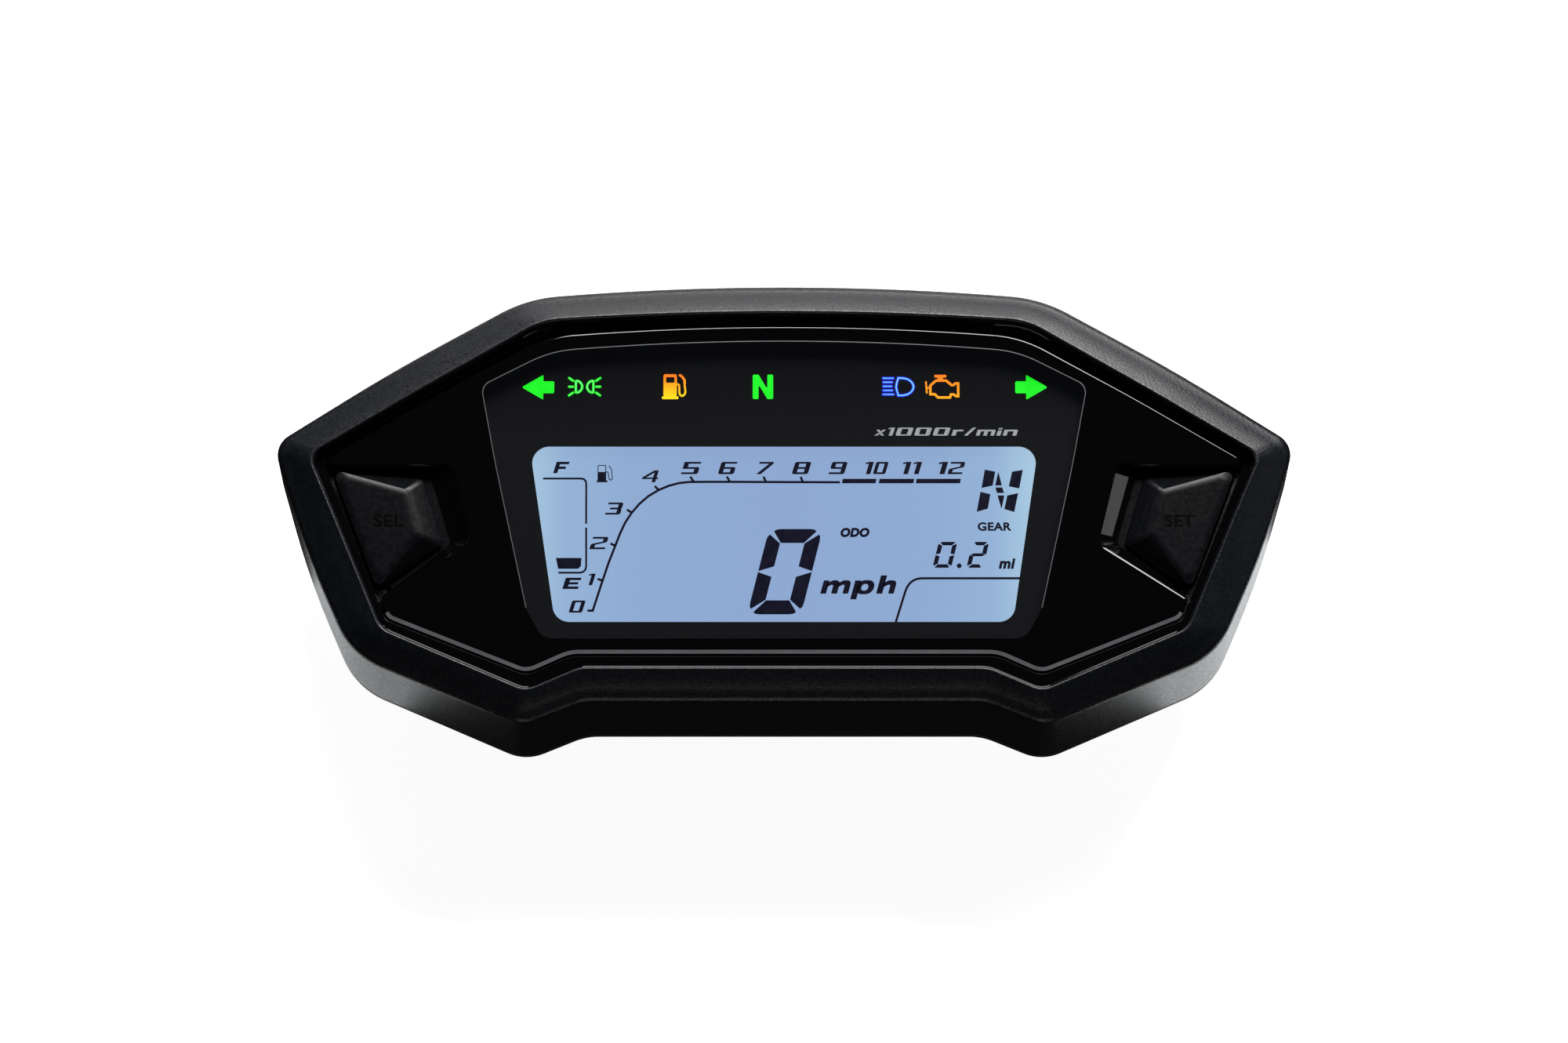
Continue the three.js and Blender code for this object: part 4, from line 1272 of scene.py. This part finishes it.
def high_beam():
    """A headlamp with five level rays."""
    ends = [(16.95, 18.7, 22.42), (17.0, 18.48, 21.71), (17.0, 18.4, 20.99), (17.0, 18.52, 20.26),
            (16.95, 18.72, 19.56)]
    lines = [([(start, y), (end, y)], 0.5) for start, end, y in ends]
    half = [(19.55, 1.55), (20.3, 1.53), (21.05, 1.38), (21.6, 1.05), (21.95, 0.65), (22.14, 0.2)]
    curve = [(x, 20.91 + y) for x, y in half] + [(x, 20.91 - y) for x, y in half[::-1]]
    curve += [(19.27, 20.3), (19.18, 20.91), (19.27, 21.52)]
    lit_lines("high beam", lines, BLUE, PALE_BLUE, [(curve, 0.52)])


def engine_warning():
    """An engine block in outline with a filler cap and a fan."""
    block = [(25.03, 21.11), (25.52, 21.6), (26.05, 22.01), (27.72, 22.01), (28.31, 21.51), (28.65, 21.21),
             (28.95, 21.21), (29.35, 21.51), (29.78, 21.51), (29.78, 19.25), (29.42, 19.25), (29.0, 19.56),
             (28.55, 19.56), (28.38, 19.02), (26.34, 19.02), (25.76, 19.6), (25.03, 19.6)]
    filler = [bar(25.7, 23.02, 27.78, 22.55, corner=0.15), bar(26.28, 22.56, 27.2, 22.2)]
    fan = [stroke([(24.28, 21.75), (24.42, 19.85)], 0.3, rounded_ends=True), bar(24.45, 20.86, 24.85, 20.56)]
    material = warm_lamp("lamp engine", 18.8, 23.0, 0.42, 0.2)
    lamp_graphic("engine warning", filler + fan, material, [closed_band(block, 0.42)])


def scale_note():
    shapes = squared("x1", (15.4, 13.7, 18.95, 12.3), 0.35)
    shapes += squared("000", (19.0, 13.7, 28.45, 12.3), 0.35)
    shapes += squared("r/min", (28.55, 13.7, 40.1, 12.3), 0.35, 0.17)
    return lamp_graphic("scale note", shapes, PRINT)


# ---------------------------------------------------------------- rear case

SCREW_HOLE = 1.5         # radius
PIN_PITCH = 2.54
PIN_ROW_GAP = 3.6
PIN_COLUMNS = 6


def gussets(name, places, width, height):
    """Sloped ribs through the mounting bosses."""
    mesh = bmesh.new()
    for x, y in places:
        solid(mesh, [(rectangle(x, y, width * 0.72, height * 0.72, 0.3), BACK_OUTER - 2.6),
                     (rectangle(x, y, width, height, 0.3), BACK_OUTER + 0.5)])
    return bare(name, mesh)


def rear_case():
    """The tray and its flange, with mounting bosses, ribs, board posts and holes."""
    mesh = bmesh.new()
    edge = [(0.4, FLANGE_REAR), (0.1, FLANGE_REAR + 0.12), (0, FLANGE_REAR + 0.4), (0, PARTING - 0.25),
            (0.25, PARTING)]
    outside = [(3.4, BACK_OUTER), (2.6, BACK_OUTER + 0.15), (2.05, BACK_OUTER + 0.5),
               (1.75, BACK_OUTER + 1.2), (0.35, FLANGE_REAR - 1), (0.1, FLANGE_REAR - 0.4),
               (-0.4, FLANGE_REAR)]
    inside = [(4.4, BACK_INNER), (3.8, BACK_INNER + 0.25), (3.5, BACK_INNER + 0.9), (2, PARTING)]
    edge_low, edge_high = stack(mesh, inset_rings(SKIRT_CORNERS, edge))
    back, root = stack(mesh, inset_rings(TRAY_CORNERS, outside))
    bottom, brim = stack(mesh, inset_rings(TRAY_CORNERS, inside))
    cap(mesh, back, up=False)
    cap(mesh, bottom)
    fill_between(mesh, edge_low, root)
    fill_between(mesh, edge_high, brim)
    case = finish_mesh("rear case", mesh, CASE)
    carve(case, rear_holes(), added=rear_ribs())
    return declare(case, stands_for=["rear_case"])


def rear_ribs():
    """Bosses, board posts, gussets and two ribs to join to the tray."""
    posts = bmesh.new()
    for x, y in BOSSES:
        profile = [(5.6, 0), (5.88, 0.1), (6, 0.4), (6.12, BACK_OUTER - 1.1), (6.3, BACK_OUTER - 0.5),
                   (6.8, BACK_OUTER + 0.05), (6, BACK_OUTER + 0.6), (6, BACK_INNER + 1.8),
                   (5.8, BACK_INNER + 2)]
        solid(posts, turned(x, y, profile))
    for x, y in BOARD_SCREWS:
        profile = [(3.1, BACK_INNER - 1), (3.1, BOARD_REAR - 0.3), (2.8, BOARD_REAR)]
        solid(posts, turned(x, y, profile, 32))
    left, right, middle = BOSSES
    across = [rectangle((left[0] + right[0]) / 2, left[1], right[0] - left[0], 1.3, 0.3)]
    upright = [rectangle(middle[0], (middle[1] + SOCKET[1]) / 2 - 0.5, 1.3, 12, 0.3)]
    return [
        bare("posts", posts),
        gussets("level gussets", BOSSES, 19, 1.3),
        gussets("upright gussets", BOSSES[:2], 1.3, 15.5),
        flat_solids("cross rib", across, BACK_OUTER - 0.9, BACK_OUTER + 0.5),
        flat_solids("upright rib", upright, BACK_OUTER - 0.9, BACK_OUTER + 0.5),
    ]


def rear_holes():
    """Insert bores, screw holes, the socket and vent openings and a shallow blank panel."""
    mesh = bmesh.new()
    for x, y in BOSSES:
        solid(mesh, turned(x, y, [(3.4, -0.5), (3.4, 0), (3.06, 0.3), (3.06, BACK_INNER)]))
    bores = [(CASE_SCREWS, FLANGE_REAR - 1, PARTING + 1), (BOARD_SCREWS, BOARD_REAR - 7, BOARD_REAR + 1)]
    for places, bottom, top in bores:
        for x, y in places:
            prism(mesh, circle(x, y, SCREW_HOLE, 32), bottom, top)
    for opening in (rectangle(*SOCKET, 24.2, 12.2, 1.5), circle(*VENT, 3)):
        prism(mesh, opening, BACK_OUTER - 2, BACK_INNER + 1)
    prism(mesh, rectangle(39, -6.5, 28, 13, 1.2), BACK_OUTER - 1, BACK_OUTER + 0.35)
    return bare("rear holes", mesh)


def cross(x, y, reach, half):
    """A plus sign, counter-clockwise."""
    points = []
    for c, s in ((1, 0), (0, 1), (-1, 0), (0, -1)):
        for px, py in ((reach, -half), (reach, half), (half, half)):
            points.append((x + px * c - py * s, y + px * s + py * c))
    return points


def case_screw(number, x, y):
    """A pan head screw with a cross recess and a coarse thread."""
    seat = FLANGE_REAR - 0.05
    top = seat - 2
    profile = [(0.9, top), (1.7, top + 0.05), (2.3, top + 0.24), (2.65, top + 0.6), (2.8, top + 1.1),
               (2.8, seat - 0.15), (2.68, seat), (1.3, seat), (1.15, seat + 0.3)]
    turns, pitch = 6, 1.1
    for i in range(turns):
        level = seat + 0.7 + pitch * i
        profile += [(1.15, level), (1.4, level + 0.3), (1.4, level + 0.4), (1.15, level + 0.7)]
    profile.append((0.6, seat + 8.1))
    screw = ring_piece(f"pan screw {number}", turned(x, y, profile, 32), STEEL)
    recess = [(cross(x, y, 1.75, 0.4), top - 0.3), (cross(x, y, 1.0, 0.3), top + 1.2)]
    carve(screw, ring_tool("recess", recess))
    return declare(screw, stands_for=[f"case_screw_{number}"])


def threaded_insert(number, x, y):
    """A brass insert with chamfered ends and a metric thread down its bore."""
    node = f"threaded_insert_{number}"
    foot, top = low(node).z, high(node).z
    profile = [(2.1, foot), (2.85, foot), (3, foot + 0.15), (3, top - 0.2), (2.85, top), (2.05, top)]
    pitch = 0.7
    turns = int((top - foot - 0.5) / pitch)
    for i in range(turns):
        level = top - 0.25 - pitch * i
        profile += [(1.66, level - 0.04), (1.66, level - 0.12), (1.98, level - pitch / 2),
                    (1.98, level - 0.4)]
    insert = ring_piece(f"brass insert {number}", turned(x, y, profile, 40), BRASS, shape=hollow)
    return declare(insert, stands_for=[node])


def connector_shroud():
    """The open socket for the loom, with a collar, a key and a catch for the plug."""
    mesh = bmesh.new()
    x, y = SOCKET
    mouth, rear = low("connector_shroud").z, high("connector_shroud").z
    floor_level = rear - 1.5
    section = [(20.6, 8.6, 0.6, floor_level), (21, 9, 0.8, floor_level - 0.2), (21, 9, 0.8, mouth + 0.5),
               (21.5, 9.5, 1.0, mouth + 0.1), (21.9, 9.9, 1.1, mouth), (23.5, 11.5, 1.3, mouth),
               (23.9, 11.9, 1.4, mouth + 0.12), (24, 12, 1.4, mouth + 0.4), (24, 12, 1.4, rear - 0.3),
               (23.6, 11.6, 1.2, rear)]
    rings = [(rectangle(x, y, width, height, corner), level) for width, height, corner, level in section]
    first, last = stack(mesh, rings)
    cap(mesh, first)
    cap(mesh, last)
    shroud = finish_mesh("loom socket", mesh, CASE)
    squares = [rectangle(px, py, 0.74, 0.74, 0.02, 1) for px, py in pin_centres()]
    holes = flat_solids("pin holes", squares, floor_level - 0.5, rear + 0.5)
    key = flat_solids("key", [rectangle(x, y + 4.15, 4, 1.1, 0.15)], mouth + 0.3, floor_level + 0.4)
    wedge = [(rectangle(x, y - 6, 6, 0.4, 0.1), mouth + 1), (rectangle(x, y - 6, 6, 1.7, 0.1), mouth + 2.4),
             (rectangle(x, y - 6, 6, 1.7, 0.1), mouth + 2.9), (rectangle(x, y - 6, 6, 1.2, 0.1), mouth + 3)]
    catch = ring_tool("catch", [(clipped(shape, y - 5.6), level) for shape, level in wedge])
    wide = rectangle(x, y, 25.5, 13.5, 1.8)
    collar = ring_tool("collar", [(rectangle(x, y, 24.9, 12.9, 1.6), BACK_OUTER - 0.9),
                                  (wide, BACK_OUTER - 0.6), (wide, BACK_OUTER - 0.03)])
    carve(shroud, holes, added=[key, catch, collar])
    return declare(shroud, stands_for=["connector_shroud"])


def clipped(points, limit):
    return [(x, min(y, limit)) for x, y in points]


def pin_centres():
    """The places of both rows of pins."""
    x, y = SOCKET
    middle = (PIN_COLUMNS - 1) / 2
    columns = [x + (i - middle) * PIN_PITCH for i in range(PIN_COLUMNS)]
    return [(column, y + side * PIN_ROW_GAP / 2) for side in (-1, 1) for column in columns]


def connector_pins():
    """Square pins with pointed ends in one carrier."""
    mesh = bmesh.new()
    tip, top = low("connector_pins").z, high("connector_pins").z
    seat = high("connector_shroud").z + 0.05
    for x, y in pin_centres():
        section = [(0.24, tip), (0.5, tip + 0.35), (0.64, tip + 0.9), (0.64, seat + 0.5)]
        solid(mesh, [(rectangle(x, y, size, size, 0.04, 2), level) for size, level in section])
    wide, deep = 16.24, 6.6
    section = [(0.3, seat), (0, seat + 0.15), (0, top - 0.15), (0.3, top)]
    solid(mesh, [(rectangle(*SOCKET, wide - inset, deep - inset, 0.5), level) for inset, level in section])
    return declare(finish_mesh("loom pins", mesh, BRASS), stands_for=["connector_pins"])


def vent_plug():
    """A round plug with a raised rim, a sunken face and a small nub."""
    foot, top = low("vent_plug").z, high("vent_plug").z
    profile = [(0.9, foot + 0.12), (1.05, foot + 0.16), (1.15, foot + 0.4), (3.0, foot + 0.4),
               (3.15, foot + 0.34), (3.25, foot + 0.08), (3.4, foot), (4.1, foot), (4.32, foot + 0.1),
               (4.4, foot + 0.3), (4.4, BACK_OUTER - 0.12), (4.3, BACK_OUTER - 0.01),
               (2.9, BACK_OUTER - 0.01), (2.9, top - 0.3), (2.6, top)]
    vent = ring_piece("vent", turned(*VENT, profile), RUBBER)
    return declare(vent, stands_for=["vent_plug"])


# ---------------------------------------------------------------- build

for make in (front_case, rim_channel_shade_lining, rear_case, lens_surround, lens_edge_highlight, window_bead_highlight, lens_window,
             dial_plate):
    make()
button("sel_button", -1, "SEL")
button("set_button", 1, "SET")
for make in (fuel_gauge, tachometer, gear_sign, speed_readout, trip_readout):
    make()
turn_arrow("turn arrow left", -1)
turn_arrow("turn arrow right", 1)
for make in (position_lamp, fuel_warning, neutral_lamp, high_beam, engine_warning, scale_note,
             connector_shroud, connector_pins, vent_plug):
    make()
for i, place in enumerate(BOSSES, 1):
    threaded_insert(i, *place)
for i, place in enumerate(CASE_SCREWS, 1):
    case_screw(i, *place)

# The material of each piece that keeps its CAD mesh, by how the node's name starts.
CAD_FINISH = {
    "case_gasket": SILICONE, "lcd_frame": WHITE, "lcd_front_glass": LCD, "lcd_rear_glass": POLARISER,
    "light_guide": GUIDE, "reflector_tray": WHITE, "indicator_baffle": BAFFLE, "main_board": BOARD,
    "microcontroller": CHIP, "display_driver_chip": CHIP, "voltage_regulator": CHIP,
    "timing_crystal": ALUMINIUM, "smoothing_capacitor": ALUMINIUM, "led_": LED, "backlight_led_": LED,
    "board_screw_": STEEL, "sel_switch_body": CHIP, "set_switch_body": CHIP,
    "sel_switch_plunger": WHITE, "set_switch_plunger": WHITE,
}
CAD_BEVEL = 0.1
for name, node in frame["nodes"].items():
    for start, material in CAD_FINISH.items():
        if name.startswith(start):
            node.data.materials.clear()
            node.data.materials.append(material)
            soften(node, CAD_BEVEL)


# ---------------------------------------------------------------- stage, light and camera

def floor():
    mesh = bmesh.new()
    reach = 4000
    ring = add_ring(mesh, [(-reach, -reach), (reach, -reach), (reach, reach), (-reach, reach)], -0.05)
    cap(mesh, ring)
    material, shader = new_material("studio floor", (0.9, 0.9, 0.91), 0.6, specular=0.1)
    tint(shader, noise(shader, 3, 3), [(0.3, (0.88, 0.88, 0.89)), (0.7, (0.92, 0.92, 0.93))])
    fill_in(shader, Emission_Color=(1, 1, 1, 1), Emission_Strength=0.93)
    piece = finish_mesh("studio floor", mesh, material, weighted=False)
    piece.visible_glossy = False
    piece.visible_diffuse = False


LIGHT_DISTANCE = 900
LIGHT_AIM_HEIGHT = 30


def softbox(name, azimuth, elevation, width, height, power):
    """An area lamp aimed at the part. Azimuth 0 is on the -Y side; sizes in millimetres."""
    data = bpy.data.lights.new(name, "AREA")
    data.shape = "RECTANGLE"
    data.size, data.size_y = width * MM, height * MM
    data.energy = power
    lamp_object = bpy.data.objects.new(name, data)
    bpy.context.scene.collection.objects.link(lamp_object)
    a, e = math.radians(azimuth), math.radians(elevation)
    back = Vector((math.sin(a) * math.cos(e), -math.cos(a) * math.cos(e), math.sin(e)))
    aim = Vector((0, 0, LIGHT_AIM_HEIGHT)) * MM
    lamp_object.location = aim + back * LIGHT_DISTANCE * MM
    lamp_object.rotation_euler = back.to_track_quat("Z", "Y").to_euler()


def bounce_card(name, x, y, width, height, strength):
    """A card lying beside the part that only its reflections show."""
    mesh = bmesh.new()
    prism(mesh, rectangle(x, y, width, height, 8), -0.04, 0.4)
    material, shader = new_material(name, (0.8, 0.8, 0.8), 0.6)
    tint(shader, noise(shader, 8, 2), [(0.3, (0.78, 0.79, 0.8)), (0.7, (0.82, 0.83, 0.84))])
    fill_in(shader, Emission_Color=(0.95, 0.98, 1, 1), Emission_Strength=strength)
    piece = finish_mesh(name, mesh, material, weighted=False)
    piece.visible_camera = False
    piece.visible_diffuse = False
    piece.visible_shadow = False


def camera():
    """A long lens above the near side, at the photo's angle."""
    data = bpy.data.cameras.new("camera")
    data.lens = 100.7
    data.sensor_width = 36
    data.clip_start = 0.01
    data.clip_end = 20
    data.dof.use_dof = False
    eye = bpy.data.objects.new("camera", data)
    bpy.context.scene.collection.objects.link(eye)
    elevation, distance = math.radians(77), 750
    back = Vector((0, -math.cos(elevation), math.sin(elevation)))
    target = Vector((0, -1.57, 32)) * MM
    eye.location = target + back * distance * MM
    eye.rotation_euler = back.to_track_quat("Z", "Y").to_euler()
    bpy.context.scene.camera = eye


def world():
    space = bpy.data.worlds.new("studio")
    space.use_nodes = True
    sky = space.node_tree.nodes["Background"]
    sky.inputs["Color"].default_value = (1, 1, 1, 1)
    sky.inputs["Strength"].default_value = 0.01
    bpy.context.scene.world = space


floor()
world()
camera()
softbox("far key", 168, 41, 600, 380, 11.5)
softbox("far strip", 180, 4, 800, 240, 1.7)
softbox("right strip", 90, 20.5, 130, 110, 0.064)
softbox("near strip", 0, 10, 600, 110, 0.65)
softbox("shoulder light", 154, 20, 260, 150, 0.75)
bounce_card("left card", -103, -40, 66, 66, 0.9)
bounce_card("right card", 103, -36, 66, 74, 1.2)
bounce_card("far card", 0, 66, 190, 84, 0.8)
bpy.context.scene.view_settings.view_transform = "Standard"
